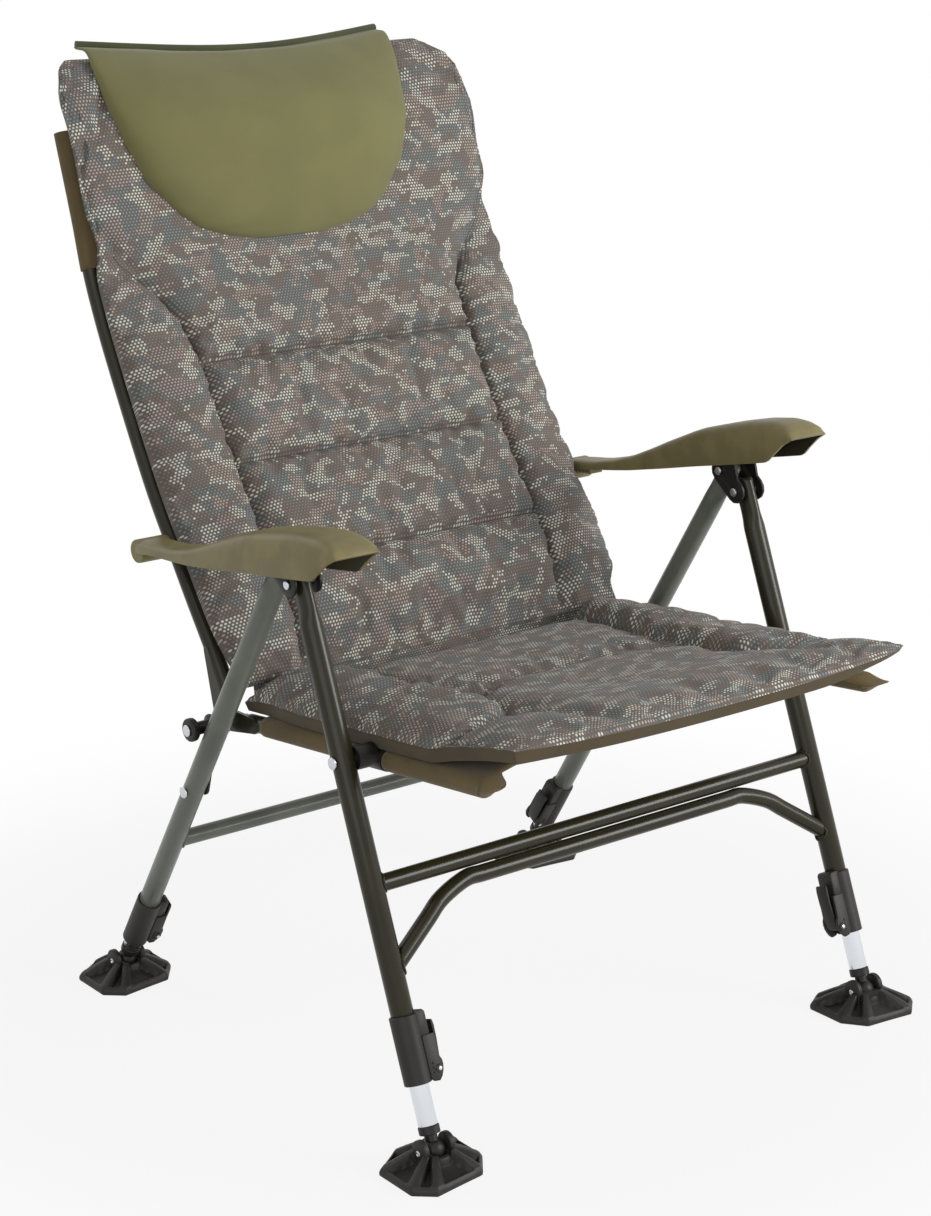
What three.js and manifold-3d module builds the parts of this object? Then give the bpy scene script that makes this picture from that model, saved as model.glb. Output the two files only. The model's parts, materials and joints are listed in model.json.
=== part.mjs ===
import * as THREE from "three";
import { mergeVertices } from "three/addons/utils/BufferGeometryUtils.js";
import Module from "manifold-3d";

// A folding fishing chair with a high reclining back, telescopic legs and swivelling mud feet.
// Millimetres. X runs across the chair, Y from its front (minus) to its back, Z up from the floor.
// Points of the side view are given behind the front foot and above the floor.

const wasm = await Module();
wasm.setup();

// Fits
const gap = 0.3;
const runningFit = 0.3;
const slidingFit = 0.4;
const overshoot = 2;

// Side view: the four pins of the folding linkage and the feet
const frontFootY = -366;
const ballHeight = 24;
const rearFootBehind = 614;
const frontPin = { behind: 224, height: 587 };
const rearPin = { behind: 251, height: 608 };
const seatPinHeight = 409;
const seatPinAboveTube = 6.8;
const linkPinHeight = 290;
const reclinePin = { behind: 425, height: 372 };
const armPin = { behind: 530, height: 556 };

// Tubes
const legDiameter = 25;
const legWall = 1.5;
const innerTubeDiameter = 21;
const crossTubeDiameter = 19;
const frameTubeDiameter = 20;
const legSpacing = 638;
const seatTubeSpacing = 544;
const backTubeSpacing = 568;
const frontLegPastPin = 15;
const rearLegPastPin = 9.5;
const pinchLength = 62;
const pinchedWidthShare = 0.7;
const pinchedDepthShare = 1.06;

// Leg adjusters, measured along the leg from the centre of its foot ball
const frontClampBottom = 70;
const rearClampBottom = 41;
const clampLength = 73;
const clampDiameter = 30;
const legInsideClamp = 40;
const housingWidth = 27;
const housingReach = 26;
const housingLength = 50;
const housingAbove = 6;
const housingSlotWidth = 18;
const leverThickness = 3.5;
const leverLength = 55;
const leverFlare = 7;
const leverFlareLength = 14;
const leverPinRadius = 2.5;
const leverHubRadius = 4.5;
const innerTubeLength = 250;
const innerTubeStart = 26;
const slideIn = 44;
const collarDiameter = 23;
const collarStart = 17;
const neckDiameter = 14;
const ballDiameter = 24;
const plugDepth = 14;
const plugWall = 1.6;

// Mud feet
const footAcross = 106;
const footAlong = 98;
const footPlate = 5;
const footRim = 9;
const footBossRadius = 21;
const footBossHeight = 36;
const footRibHeight = 27;
const footRibThickness = 4;
const footSlotBelow = 3;
const footEarHeight = 40;

// Top brackets
const cheekThickness = 3;
const cheekClear = 2;
const cheekRound = 14;
const bridgeHeight = 23.5;
const bridgeThickness = 4;
const bridgeLength = 26;

// Bolts and pins
const boltRadius = 4;
const boltHeadRadius = 7;
const boltHeadHeight = 3;

// Cross tubes, measured along the legs like the adjusters
const upperCrossReach = 281;
const lowerCrossWeld = 190;
const rearCrossReach = 223;
const archFlatWidth = 440;
const archShoulder = 40;
const lowerCrossSteps = 17;

// Seat frame
const seatTubeLength = 450;
const hingeLugThickness = 5;
const hingeLugRadius = 13;
const hingeLugLength = 46;
const seatTubeStart = 24;
const seatClampDiameter = 25;
const seatClampLength = 32;
const seatBossRadius = 13;

// Rear links
const linkThickness = 3;
const linkWidth = 18;

// Recline knobs
const knobDiscRadius = 13.5;
const knobDiscThickness = 9;
const knobNeckRadius = 7.5;
const knobFlareRadius = 13;
const knobFlareThickness = 4;

// Back frame: the side view of its tube, as shares of the way from the recline pin to the armrest pin,
// and beyond the armrest pin as lengths behind and above it
const backTubeLower_share = [
  [-0.0095, 0.174],
  [0.276, 0.424],
  [0.638, 0.707],
];
const backTubeUpper = [
  [0, 0],
  [38, 55],
  [102, 166],
  [138, 234],
  [162, 289],
  [180, 349],
  [212, 444],
];
const backTubeSteps = 18;
const backBarDown = 22;
const backPocketLength = 158;
const backPocketWall = 1.6;
const backPocketSteps = 6;

// Armrests: side view of the outline behind and above their pin, from the rear end forward
const armTop = [
  [15, 3],
  [8, 11],
  [-10, 14],
  [-50, 16],
  [-90, 23],
  [-125, 32],
  [-158, 44],
  [-191, 57],
  [-246, 77],
  [-300, 89],
  [-340, 96],
  [-374, 99],
  [-396, 96],
  [-413, 89],
  [-421, 82],
];
const armBottom = [
  [15, -5],
  [8, -3],
  [-10, 0],
  [-50, 6],
  [-90, 10],
  [-125, 14],
  [-158, 19],
  [-191, 24],
  [-246, 33],
  [-300, 41],
  [-340, 47],
  [-372, 52],
  [-388, 61],
  [-406, 72],
  [-420, 79],
];
const armInnerX = [297, 297, 297, 297, 296, 295, 294, 293, 292, 291, 291, 291, 292, 293, 297];
const armOuterX = [326, 333, 337, 341, 345, 348, 350, 351, 352, 353, 353, 353, 352, 351, 347];
const armWall = 3;
const armLip = 80.5;
const armMouth = 33;
const armRound = 9;
const armHubRadius = 13;
const armRibThickness = 2;
const armRibSpacing = 8;
const armRibCount = 4;
const armRibFirst = 24;
const armRackThickness = 8;
const armRackStart = -350;
const armRackLength = 125;
const armToothPitch = 25;
const armToothDepth = 8;
const leftArmLift = 4.3;

// Soft forms, in the plane of their frame
const sheetThickness = 2;
const sleeveWall = 1.6;
const hemDepth = 62;
const seatPadFront = 519;
const seatPadRear = 24;
const seatPadHalfWidth = 283;
const seatPadBase = 13;
const seatPadBoxing = 17;
const seatPadCrown = 15;
const seatPadFrontLift = 20;
const seatPadRearNarrowing = 12;
const seatPadLiftStart = 0.62;
const seatPadRows = 20;
const padColumns = 18;
const headRoll = [
  [22, 34],
  [51, 56],
  [84, 71],
];
const pillowPastPad = 32;
const headThinning = 0.82;
const headTaperStart = 0.42;
const headTaperEnd = 0.8;
const backPadRows = 32;
const backPadHalfWidth = 290;
const backPadBase = 13;
const backPadBoxing = 11;
const backPadCrown = 34;
const creaseLength = 75;
const creaseThickness = 5;
const seamDepth = 12;
const seamWidth = 14;
// Sewn lines of the back pad: cross channels up from its lower end, and the bolster line as height, half width
const backChannels = [127, 256, 384];
const backChannelTop = 430;
const backBolsterLine = [
  [0, 190],
  [60, 192],
  [130, 194],
  [300, 195],
  [390, 197],
  [440, 204],
  [480, 224],
  [510, 250],
  [545, 286],
  [560, 310],
  [900, 340],
];
// Sewn lines of the seat pad: the bolster line as distance before the recline pin, half width
const seatBolsterLine = [
  [0, 188],
  [60, 186],
  [120, 177],
  [200, 168],
  [300, 162],
  [350, 158],
  [372, 175],
  [392, 215],
  [405, 290],
  [600, 320],
];
const seatSeamDepth = 9;
const seatBolsterRise = 10;
const seatChannel = 252;
const seatChannelBend = 70;
const seatChannelBendFrom = 90;
const seatChannelBendTo = 190;
const pillowRows = 14;
const pillowColumns = 20;
const pillowHalfWidth = 226;
const pillowOutline_share = [
  [0, 0.2],
  [0.03, 0.36],
  [0.08, 0.5],
  [0.15, 0.62],
  [0.3, 0.77],
  [0.5, 0.865],
  [0.76, 0.935],
  [1, 1],
];
const pillowLength = 262;
const pillowEdge = 4;
const pillowDip = 10;
const pillowSag = 26;
const pillowOffset = 12;
const pillowCrown = 42;
const pillowClear = 0.5;

// Faces round a tube
const tubeFaces = 16;
const pathFaces = 10;
const smallFaces = 10;
const ballFaces = 10;
const ballBands = 6;
const hemFaces = 22;
const strapSteps = 6;

// Derived
const legRadius = legDiameter / 2;
const legBore = legRadius - legWall;
const innerTubeRadius = innerTubeDiameter / 2;
const crossRadius = crossTubeDiameter / 2;
const frameRadius = frameTubeDiameter / 2;
const legX = legSpacing / 2;
const legInnerX = legX - legRadius;
const legOuterX = legX + legRadius;
const seatTubeX = seatTubeSpacing / 2;
const backTubeX = backTubeSpacing / 2;
const cheekX = legRadius + cheekClear;
const frontLean = Math.atan2(frontPin.behind, frontPin.height - ballHeight);
const rearLean = Math.atan2(rearFootBehind - rearPin.behind, rearPin.height - ballHeight);
const frontLegReach = Math.hypot(frontPin.behind, frontPin.height - ballHeight);
const rearLegReach = Math.hypot(rearFootBehind - rearPin.behind, rearPin.height - ballHeight);
const seatPinReach = (seatPinHeight - ballHeight) / Math.cos(frontLean);
const linkPinReach = (linkPinHeight - ballHeight) / Math.cos(rearLean);
const seatPin = { behind: seatPinReach * Math.sin(frontLean), height: seatPinHeight };
const linkPin = { behind: rearFootBehind - linkPinReach * Math.sin(rearLean), height: linkPinHeight };
const lowerCrossReach = upperCrossReach - crossTubeDiameter - gap * 3;
const socketRadius = ballDiameter / 2 + slidingFit * 2.5;
const seatRise = Math.atan2(seatPin.height - reclinePin.height, reclinePin.behind - seatPin.behind);
const seatReach = Math.hypot(seatPin.height - reclinePin.height, reclinePin.behind - seatPin.behind);
const seatSlope = seatRise - Math.asin(seatPinAboveTube / seatReach);
const flareX = legInnerX - linkThickness - gap;

const colours = {
  frontTube: 0x4a4836,
  rearTube: 0x6e7266,
  armrest: 0x857f5c,
  charcoal: 0x34312f,
  black: 0x242322,
  aluminium: 0xc9ccd0,
  zinc: 0xb9bcbf,
  camo: 0x6a5f56,
  khaki: 0x64563a,
  olive: 0x85835a,
};

// Materials
function finish(color, roughness, metalness) {
  return new THREE.MeshStandardMaterial({ color, roughness, metalness });
}
const glossPaint = () => finish(colours.frontTube, 0.32, 0.35);
const satinPaint = () => finish(colours.rearTube, 0.45, 0.3);
const mouldedPlastic = (color) => finish(color, 0.6, 0);
const brightMetal = () => finish(colours.aluminium, 0.25, 1);
const zincPlate = () => finish(colours.zinc, 0.35, 1);
const woven = (color) => finish(color, 0.9, 0);

// A point of the side view in the frame of the chair
function sidePoint({ behind, height }) {
  return new THREE.Vector3(0, frontFootY + behind, height);
}

function sideVector([behind, height]) {
  return new THREE.Vector3(0, frontFootY + behind, height);
}

// Solids for cutting and joining
function toSolid(geometry) {
  const bare = geometry.clone();
  bare.deleteAttribute("normal");
  bare.deleteAttribute("uv");
  const merged = mergeVertices(bare, 1e-3);
  return new wasm.Manifold(
    new wasm.Mesh({
      numProp: 3,
      vertProperties: new Float32Array(merged.getAttribute("position").array),
      triVerts: new Uint32Array(merged.index.array),
    }),
  );
}

function toGeometry(solid) {
  const mesh = solid.getMesh();
  const positions = new Float32Array(mesh.numVert * 3);
  for (let v = 0; v < mesh.numVert; v += 1) {
    for (let k = 0; k < 3; k += 1) {
      positions[v * 3 + k] = mesh.vertProperties[v * mesh.numProp + k];
    }
  }
  const geometry = new THREE.BufferGeometry();
  geometry.setAttribute("position", new THREE.BufferAttribute(positions, 3));
  geometry.setIndex(Array.from(mesh.triVerts));
  const flat = geometry.toNonIndexed();
  flat.computeVertexNormals();
  return flat;
}

function join(first, ...others) {
  return toGeometry(others.reduce((whole, g) => whole.add(toSolid(g)), toSolid(first)));
}

function cut(first, ...others) {
  return toGeometry(others.reduce((whole, g) => whole.subtract(toSolid(g)), toSolid(first)));
}

function common(first, second) {
  return toGeometry(toSolid(first).intersect(toSolid(second)));
}

// The body itself, without slivers that a cut along its face leaves
function withoutSlivers(geometry) {
  const bodies = toSolid(geometry).decompose();
  return toGeometry(bodies.reduce((most, body) => (body.volume() > most.volume() ? body : most)));
}

// The same form for the other side of the chair
function mirrored(geometry) {
  const g = geometry.index ? geometry.toNonIndexed() : geometry.clone();
  g.scale(-1, 1, 1);
  const p = g.getAttribute("position");
  for (let i = 0; i < p.count; i += 3) {
    for (const get of ["getX", "getY", "getZ"]) {
      const set = get.replace("get", "set");
      const kept = p[get](i);
      p[set](i, p[get](i + 1));
      p[set](i + 1, kept);
    }
  }
  g.deleteAttribute("uv");
  g.computeVertexNormals();
  return g;
}

// Forms are drawn for the right side of the chair, where X is negative
function forSide(geometry, side) {
  return side === "left" ? mirrored(geometry) : geometry;
}

// A closed surface through a list of rings of the same count, with its two ends capped
function skin(rings) {
  const count = rings[0].length;
  const points = rings.flat();
  const faces = [];
  for (let r = 0; r + 1 < rings.length; r += 1) {
    for (let k = 0; k < count; k += 1) {
      const next = (k + 1) % count;
      const a = r * count + k;
      const b = r * count + next;
      faces.push(a, b, a + count, b, b + count, a + count);
    }
  }
  const centre = (ring) => ring.reduce((s, p) => s.add(p), new THREE.Vector3()).divideScalar(count);
  const first = points.push(centre(rings[0])) - 1;
  const last = points.push(centre(rings[rings.length - 1])) - 1;
  const top = (rings.length - 1) * count;
  for (let k = 0; k < count; k += 1) {
    const next = (k + 1) % count;
    faces.push(first, next, k, last, top + k, top + next);
  }
  const geometry = new THREE.BufferGeometry().setFromPoints(points);
  geometry.setIndex(faces);
  const flat = geometry.toNonIndexed();
  flat.computeVertexNormals();
  return flat;
}

// A body turned about Z from [height, radius] pairs; depth_share flattens or swells it along Y
function turned(profile, faces = tubeFaces) {
  const rings = profile.map(([z, radius, depthRadius = radius]) =>
    Array.from({ length: faces }, (_, k) => {
      const angle = (2 * Math.PI * k) / faces;
      return new THREE.Vector3(radius * Math.cos(angle), depthRadius * Math.sin(angle), z);
    }),
  );
  return skin(rings);
}

// A round bar along X between two places
function barX(radius, from, to, faces = smallFaces) {
  const bar = turned(
    [
      [from, radius],
      [to, radius],
    ],
    faces,
  );
  return bar.rotateY(Math.PI / 2);
}

function barY(radius, from, to, faces = smallFaces) {
  const bar = turned(
    [
      [from, radius],
      [to, radius],
    ],
    faces,
  );
  return bar.rotateX(-Math.PI / 2);
}

function barZ(radius, from, to, faces = smallFaces) {
  return turned(
    [
      [from, radius],
      [to, radius],
    ],
    faces,
  );
}

function box(x0, x1, y0, y1, z0, z1) {
  const form = new THREE.BoxGeometry(x1 - x0, y1 - y0, z1 - z0).toNonIndexed();
  return form.translate((x0 + x1) / 2, (y0 + y1) / 2, (z0 + z1) / 2);
}

// A plate in the side view, extruded along X from one place to another
function plateX(outline, from, to) {
  const shape = new THREE.Shape(outline.map(([y, z]) => new THREE.Vector2(y, z)));
  const plate = new THREE.ExtrudeGeometry(shape, { depth: to - from, bevelEnabled: false });
  const turn = new THREE.Matrix4().makeBasis(
    new THREE.Vector3(0, 1, 0),
    new THREE.Vector3(0, 0, 1),
    new THREE.Vector3(1, 0, 0),
  );
  return plate.applyMatrix4(turn).translate(from, 0, 0);
}

// The outline of two discs joined by a strap, for links and lugs
function strapOutline([y0, z0, r0], [y1, z1, r1], steps = strapSteps) {
  const heading = Math.atan2(z1 - z0, y1 - y0);
  const points = [];
  for (let k = 0; k <= steps; k += 1) {
    const angle = heading + Math.PI / 2 + (Math.PI * k) / steps;
    points.push([y0 + r0 * Math.cos(angle), z0 + r0 * Math.sin(angle)]);
  }
  for (let k = 0; k <= steps; k += 1) {
    const angle = heading - Math.PI / 2 + (Math.PI * k) / steps;
    points.push([y1 + r1 * Math.cos(angle), z1 + r1 * Math.sin(angle)]);
  }
  return points;
}

// A round tube or bar along a curve
function tubeAlong(points, radius, steps, faces = pathFaces) {
  const curve = new THREE.CatmullRomCurve3(points, false, "centripetal");
  const circle = new THREE.Shape(
    Array.from({ length: faces }, (_, k) => {
      const angle = (2 * Math.PI * k) / faces;
      return new THREE.Vector2(radius * Math.cos(angle), radius * Math.sin(angle));
    }),
  );
  return new THREE.ExtrudeGeometry(circle, { steps, extrudePath: curve, bevelEnabled: false });
}

// Groups that carry the sub-parts
const chair = new THREE.Group();
chair.name = "carp_fishing_chair";

function add(parent, name, geometry, material, side) {
  const mesh = new THREE.Mesh(geometry, material);
  mesh.name = side ? `${name}_${side}` : name;
  parent.add(mesh);
  return mesh;
}

function frameAt(parent, position, lean = 0) {
  const frame = new THREE.Group();
  frame.position.copy(position);
  frame.rotation.x = lean;
  parent.add(frame);
  return frame;
}

const sides = ["right", "left"];
const signOf = { right: -1, left: 1 };

// Leg tubes: bored from below for the inner tube, pinched at the top to fit between the cheeks
function legTube(clampBottom, pinReach, pastPin) {
  const bottom = clampBottom + clampLength - legInsideClamp;
  const boreTop = innerTubeStart + innerTubeLength + slideIn + gap;
  const top = pinReach + pastPin;
  const pinchStart = top - pinchLength;
  const wide = legRadius * pinchedWidthShare;
  const deep = legRadius * pinchedDepthShare;
  return turned([
    [boreTop, legBore],
    [bottom, legBore],
    [bottom, legRadius],
    [pinchStart, legRadius],
    [pinchStart + pinchLength / 3, wide, deep],
    [top - legRadius / 2, wide, deep],
    [top - legRadius / 8, wide * 0.9, deep * 0.85],
    [top, wide * 0.6, deep * 0.5],
  ]);
}

// The side view of the back tube, from the hinge to the top
function backTubePath() {
  const across = armPin.behind - reclinePin.behind;
  const up = armPin.height - reclinePin.height;
  const lower = backTubeLower_share.map(([y, z]) => [reclinePin.behind + y * across, reclinePin.height + z * up]);
  const upper = backTubeUpper.map(([y, z]) => [armPin.behind + y, armPin.height + z]);
  return [...lower, ...upper].map(sideVector);
}

function holesAcross(reaches) {
  const half = legRadius + overshoot;
  return reaches.map((reach) => barX(boltRadius + runningFit, -half, half).translate(0, 0, reach));
}

function frontLegTube() {
  return cut(legTube(frontClampBottom, frontLegReach, frontLegPastPin), ...holesAcross([frontLegReach, seatPinReach]));
}

function rearLegTube() {
  return cut(legTube(rearClampBottom, rearLegReach, rearLegPastPin), ...holesAcross([rearLegReach, linkPinReach]));
}

// Leg clamp: a sleeve over the end of the leg with a housing on its inward side for the lever
function clampBody() {
  const legBoreFit = legRadius + gap;
  const tubeBore = innerTubeRadius + slidingFit;
  const radius = clampDiameter / 2;
  const step = clampLength - legInsideClamp - gap;
  const sleeve = turned([
    [0, radius - 1],
    [radius / 5, radius],
    [clampLength - radius / 5, radius],
    [clampLength, radius - 1],
  ]);
  const housing = box(
    radius / 2,
    housingReach,
    -housingWidth / 2,
    housingWidth / 2,
    housingAbove,
    housingAbove + housingLength,
  );
  const slot = box(
    radius + leverThickness / 4,
    housingReach + overshoot,
    -housingSlotWidth / 2,
    housingSlotWidth / 2,
    housingAbove - overshoot,
    housingAbove + housingLength + overshoot,
  );
  const pinHole = barY(leverPinRadius + gap, -housingWidth, housingWidth).translate(
    leverPinX(),
    0,
    leverPinZ(),
  );
  const bore = turned([
    [-overshoot, tubeBore],
    [step, tubeBore],
    [step, legBoreFit],
    [clampLength + overshoot, legBoreFit],
  ]);
  return cut(join(sleeve, housing), slot, pinHole, bore);
}

function leverPinX() {
  return housingReach - leverHubRadius - gap;
}

function leverPinZ() {
  return housingAbove + leverHubRadius + gap;
}

// Cam lever, drawn about its own pin
function clampLever() {
  const width = housingSlotWidth / 2 - gap;
  const face = leverHubRadius;
  const back = leverHubRadius - leverThickness;
  const shape = new THREE.Shape();
  shape.moveTo(back, 0);
  shape.lineTo(face, 0);
  shape.lineTo(face, leverLength - leverFlareLength);
  shape.lineTo(face + leverFlare, leverLength);
  shape.lineTo(face + leverFlare - leverThickness, leverLength);
  shape.lineTo(back, leverLength - leverFlareLength);
  const blade = new THREE.ExtrudeGeometry(shape, { depth: 2 * width, bevelEnabled: false });
  blade.rotateX(Math.PI / 2).translate(0, width, 0);
  const hub = barY(leverHubRadius, -width, width);
  const pin = barY(leverPinRadius, -housingWidth / 2, housingWidth / 2);
  return join(blade, hub, pin);
}

function innerTube() {
  const bore = innerTubeRadius - plugWall;
  return turned([
    [innerTubeStart + plugDepth + gap, bore],
    [innerTubeStart, bore],
    [innerTubeStart, innerTubeRadius],
    [innerTubeStart + innerTubeLength, innerTubeRadius],
  ]);
}

// Ball stud: plug, collar, neck and ball in one piece
function ballStud() {
  const ball = ballDiameter / 2;
  const neck = neckDiameter / 2;
  const collar = collarDiameter / 2;
  const neckJoin = Math.sqrt(ball * ball - neck * neck);
  const steps = 6;
  const start = -Math.PI / 2;
  const end = Math.asin(neckJoin / ball);
  const profile = [];
  for (let k = 1; k <= steps; k += 1) {
    const angle = start + ((end - start) * k) / steps;
    profile.push([ball * Math.sin(angle), ball * Math.cos(angle)]);
  }
  const collarEnd = innerTubeStart - gap;
  profile.push([collarStart, neck]);
  profile.push([collarStart + 1, collar]);
  profile.push([collarEnd - 1, collar]);
  profile.push([collarEnd, collar - 1]);
  profile.push([collarEnd, innerTubeRadius - plugWall - gap]);
  profile.push([innerTubeStart + plugDepth, innerTubeRadius - plugWall - gap]);
  return turned(profile, ballFaces);
}

// Mud foot: many-sided plate, ribs to its corners and a socket for the ball
function mudFoot() {
  const half = [footAcross / 2, footAlong / 2];
  const corners = [
    [-1, -0.62],
    [-0.6, -1],
    [0.62, -0.84],
    [1, -0.3],
    [1, 0.72],
    [0.56, 1],
    [-0.3, 1],
    [-1, 0.5],
  ].map(([x, y]) => [x * half[0], y * half[1]]);
  const ring = (z, share) => corners.map(([x, y]) => new THREE.Vector3(x * share, y * share, z));
  const plate = skin([ring(0, 0.94), ring(footPlate / 2, 1), ring(footRim, 0.97), ring(footRim, 0.9), ring(footPlate, 0.86)]);
  const boss = turned(
    [
      [footPlate / 2, footBossRadius * 1.15],
      [footBossHeight * 0.7, footBossRadius],
      [footBossHeight, footBossRadius * 0.7],
    ],
    ballFaces,
  );
  const ribs = corners.map(([x, y]) => {
    const reach = Math.hypot(x, y) * 0.93;
    const outline = [
      [footBossRadius / 2, footPlate / 2],
      [reach, footPlate / 2],
      [reach, footRim],
      [footBossRadius / 2, footRibHeight],
    ];
    const rib = plateX(outline, -footRibThickness / 2, footRibThickness / 2);
    return rib.rotateZ(Math.atan2(y, x) - Math.PI / 2);
  });
  const earOuter = footBossRadius;
  const earInner = socketRadius;
  const ears = [-1, 1].map((way) => {
    const from = way > 0 ? earInner : -earOuter;
    const to = way > 0 ? earOuter : -earInner;
    const outline = [
      [-footBossRadius / 2, footPlate],
      [footBossRadius / 2, footPlate],
      [footBossRadius / 2, footEarHeight * 0.8],
      [footBossRadius / 4, footEarHeight],
      [-footBossRadius / 4, footEarHeight],
      [-footBossRadius / 2, footEarHeight * 0.8],
    ];
    return plateX(outline, from, to);
  });
  const socket = new THREE.SphereGeometry(socketRadius, ballFaces, ballBands).translate(0, 0, ballHeight);
  const slotHalf = collarDiameter / 2 + slidingFit * 2;
  const slot = box(-slotHalf, slotHalf, -footAlong, footAlong, ballHeight - footSlotBelow, footEarHeight + overshoot);
  return cut(join(plate, boss, ...ribs, ...ears), socket, slot);
}

// Top bracket: two cheeks joined by a bridge over the leg tops, drawn about the front pin
function topBracket() {
  const toRear = [rearPin.behind - frontPin.behind, rearPin.height - frontPin.height];
  const strap = strapOutline([0, 0, cheekRound], [toRear[0], toRear[1], cheekRound]);
  const crown = [
    [-cheekRound / 2, 0],
    [toRear[0] + cheekRound, toRear[1]],
    [toRear[0] + cheekRound / 2, bridgeHeight + cheekRound],
    [cheekRound / 4, bridgeHeight + cheekRound],
  ];
  const cheeks = [-1, 1].map((way) => {
    const from = way > 0 ? cheekX : -cheekX - cheekThickness;
    return join(plateX(strap, from, from + cheekThickness), plateX(crown, from, from + cheekThickness));
  });
  const bridge = box(
    -cheekX - cheekThickness,
    cheekX + cheekThickness,
    toRear[0] / 2 - bridgeLength / 2,
    toRear[0] / 2 + bridgeLength / 2,
    bridgeHeight + cheekRound - bridgeThickness,
    bridgeHeight + cheekRound,
  );
  const half = cheekX + cheekThickness + overshoot;
  const holes = [[0, 0], toRear].map(([y, z]) =>
    barX(boltRadius + runningFit, -half, half).translate(0, y, z),
  );
  return cut(join(...cheeks, bridge), ...holes);
}

// A bolt along X with a domed head at its outer end and a flat head at its inner one
function headedBolt(outer, inner) {
  const dome = boltHeadHeight / 3;
  const profile = [
    [outer - boltHeadHeight, boltHeadRadius * 0.6],
    [outer - boltHeadHeight + dome, boltHeadRadius],
    [outer, boltHeadRadius],
    [outer, boltRadius],
    [inner, boltRadius],
    [inner, boltHeadRadius],
    [inner + boltHeadHeight, boltHeadRadius],
  ];
  return turned(profile, smallFaces).rotateY(Math.PI / 2);
}

function plainPin(outer, inner) {
  const dome = boltHeadHeight / 3;
  const profile = [
    [outer - boltHeadHeight, boltHeadRadius * 0.6],
    [outer - boltHeadHeight + dome, boltHeadRadius],
    [outer, boltHeadRadius],
    [outer, boltRadius],
    [inner, boltRadius],
  ];
  return turned(profile, smallFaces).rotateY(Math.PI / 2);
}

// Cross tubes, saddled to the legs
function saddled(tube) {
  const cuts = [-1, 1].map((way) =>
    barZ(legRadius + gap, -frontLegReach, frontLegReach, tubeFaces).translate(way * legX, 0, 0),
  );
  return cut(tube, ...cuts);
}

function upperCrossTube() {
  return saddled(barX(crossRadius, -legX + legRadius / 2, legX - legRadius / 2, tubeFaces).translate(0, 0, upperCrossReach));
}

function lowerCrossTube() {
  const half = archFlatWidth / 2;
  const rise = lowerCrossReach - lowerCrossWeld;
  const slope = (x) => new THREE.Vector3(x, 0, lowerCrossReach - (rise * (Math.abs(x) - half)) / (legX - half));
  const end = legX - legRadius / 2;
  const points = [
    slope(-end),
    slope(-half - archShoulder),
    slope(-half - archShoulder / 2),
    new THREE.Vector3(-half + archShoulder / 2, 0, lowerCrossReach),
    new THREE.Vector3(-half + archShoulder, 0, lowerCrossReach),
    new THREE.Vector3(half - archShoulder, 0, lowerCrossReach),
    new THREE.Vector3(half - archShoulder / 2, 0, lowerCrossReach),
    slope(half + archShoulder / 2),
    slope(half + archShoulder),
    slope(end),
  ];
  return saddled(tubeAlong(points, crossRadius, lowerCrossSteps));
}

function rearCrossTube() {
  return saddled(barX(crossRadius, -legX + legRadius / 2, legX - legRadius / 2, tubeFaces).translate(0, 0, rearCrossReach));
}

// Seat side tube in the seat's own frame: it runs forward from the recline pin with a lug at the pin
function seatSideTube() {
  const round = frameRadius / 3;
  const tube = turned([
    [seatTubeStart, frameRadius - round],
    [seatTubeStart + round, frameRadius],
    [seatTubeLength - round, frameRadius],
    [seatTubeLength, frameRadius - round],
  ]).rotateX(Math.PI / 2);
  const lugOutline = strapOutline([0, 0, hingeLugRadius], [-hingeLugLength, 0, frameRadius - 1]);
  const outer = -frameRadius;
  const lug = plateX(lugOutline, outer, outer + hingeLugThickness);
  const hole = barX(boltRadius + runningFit, -frameTubeDiameter, frameTubeDiameter);
  return cut(join(tube, lug), hole);
}

function seatClamp() {
  const half = seatClampLength / 2;
  const along = seatPinAlongSeat();
  const lift = seatPinAboveTube;
  const radius = seatClampDiameter / 2;
  const sleeve = barY(radius, -half, half, tubeFaces);
  const bossEnd = -(legInnerX - seatTubeX - gap * 2);
  const boss = barX(seatBossRadius, bossEnd, gap * 2 - frameRadius, tubeFaces).translate(0, 0, lift);
  const bore = barY(frameRadius + runningFit, -seatClampLength, seatClampLength, tubeFaces);
  const boltHole = barX(boltRadius + runningFit, bossEnd - overshoot, seatBossRadius).translate(0, 0, lift);
  return cut(join(sleeve, boss), bore, boltHole).translate(0, -along, 0);
}

function seatPinAlongSeat() {
  return Math.sqrt(seatReach * seatReach - seatPinAboveTube * seatPinAboveTube);
}

// Rear link between the recline pin and the rear leg, drawn about the recline pin
function rearLink() {
  const y = linkPin.behind - reclinePin.behind;
  const z = linkPin.height - reclinePin.height;
  const outer = -legInnerX + gap;
  const bar = plateX(
    strapOutline([y, z, linkWidth / 2], [0, 0, linkWidth / 2]),
    outer,
    outer + linkThickness,
  );
  const hole = barX(boltRadius + runningFit, outer - overshoot, outer + linkThickness + overshoot);
  return cut(bar, hole);
}

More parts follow.
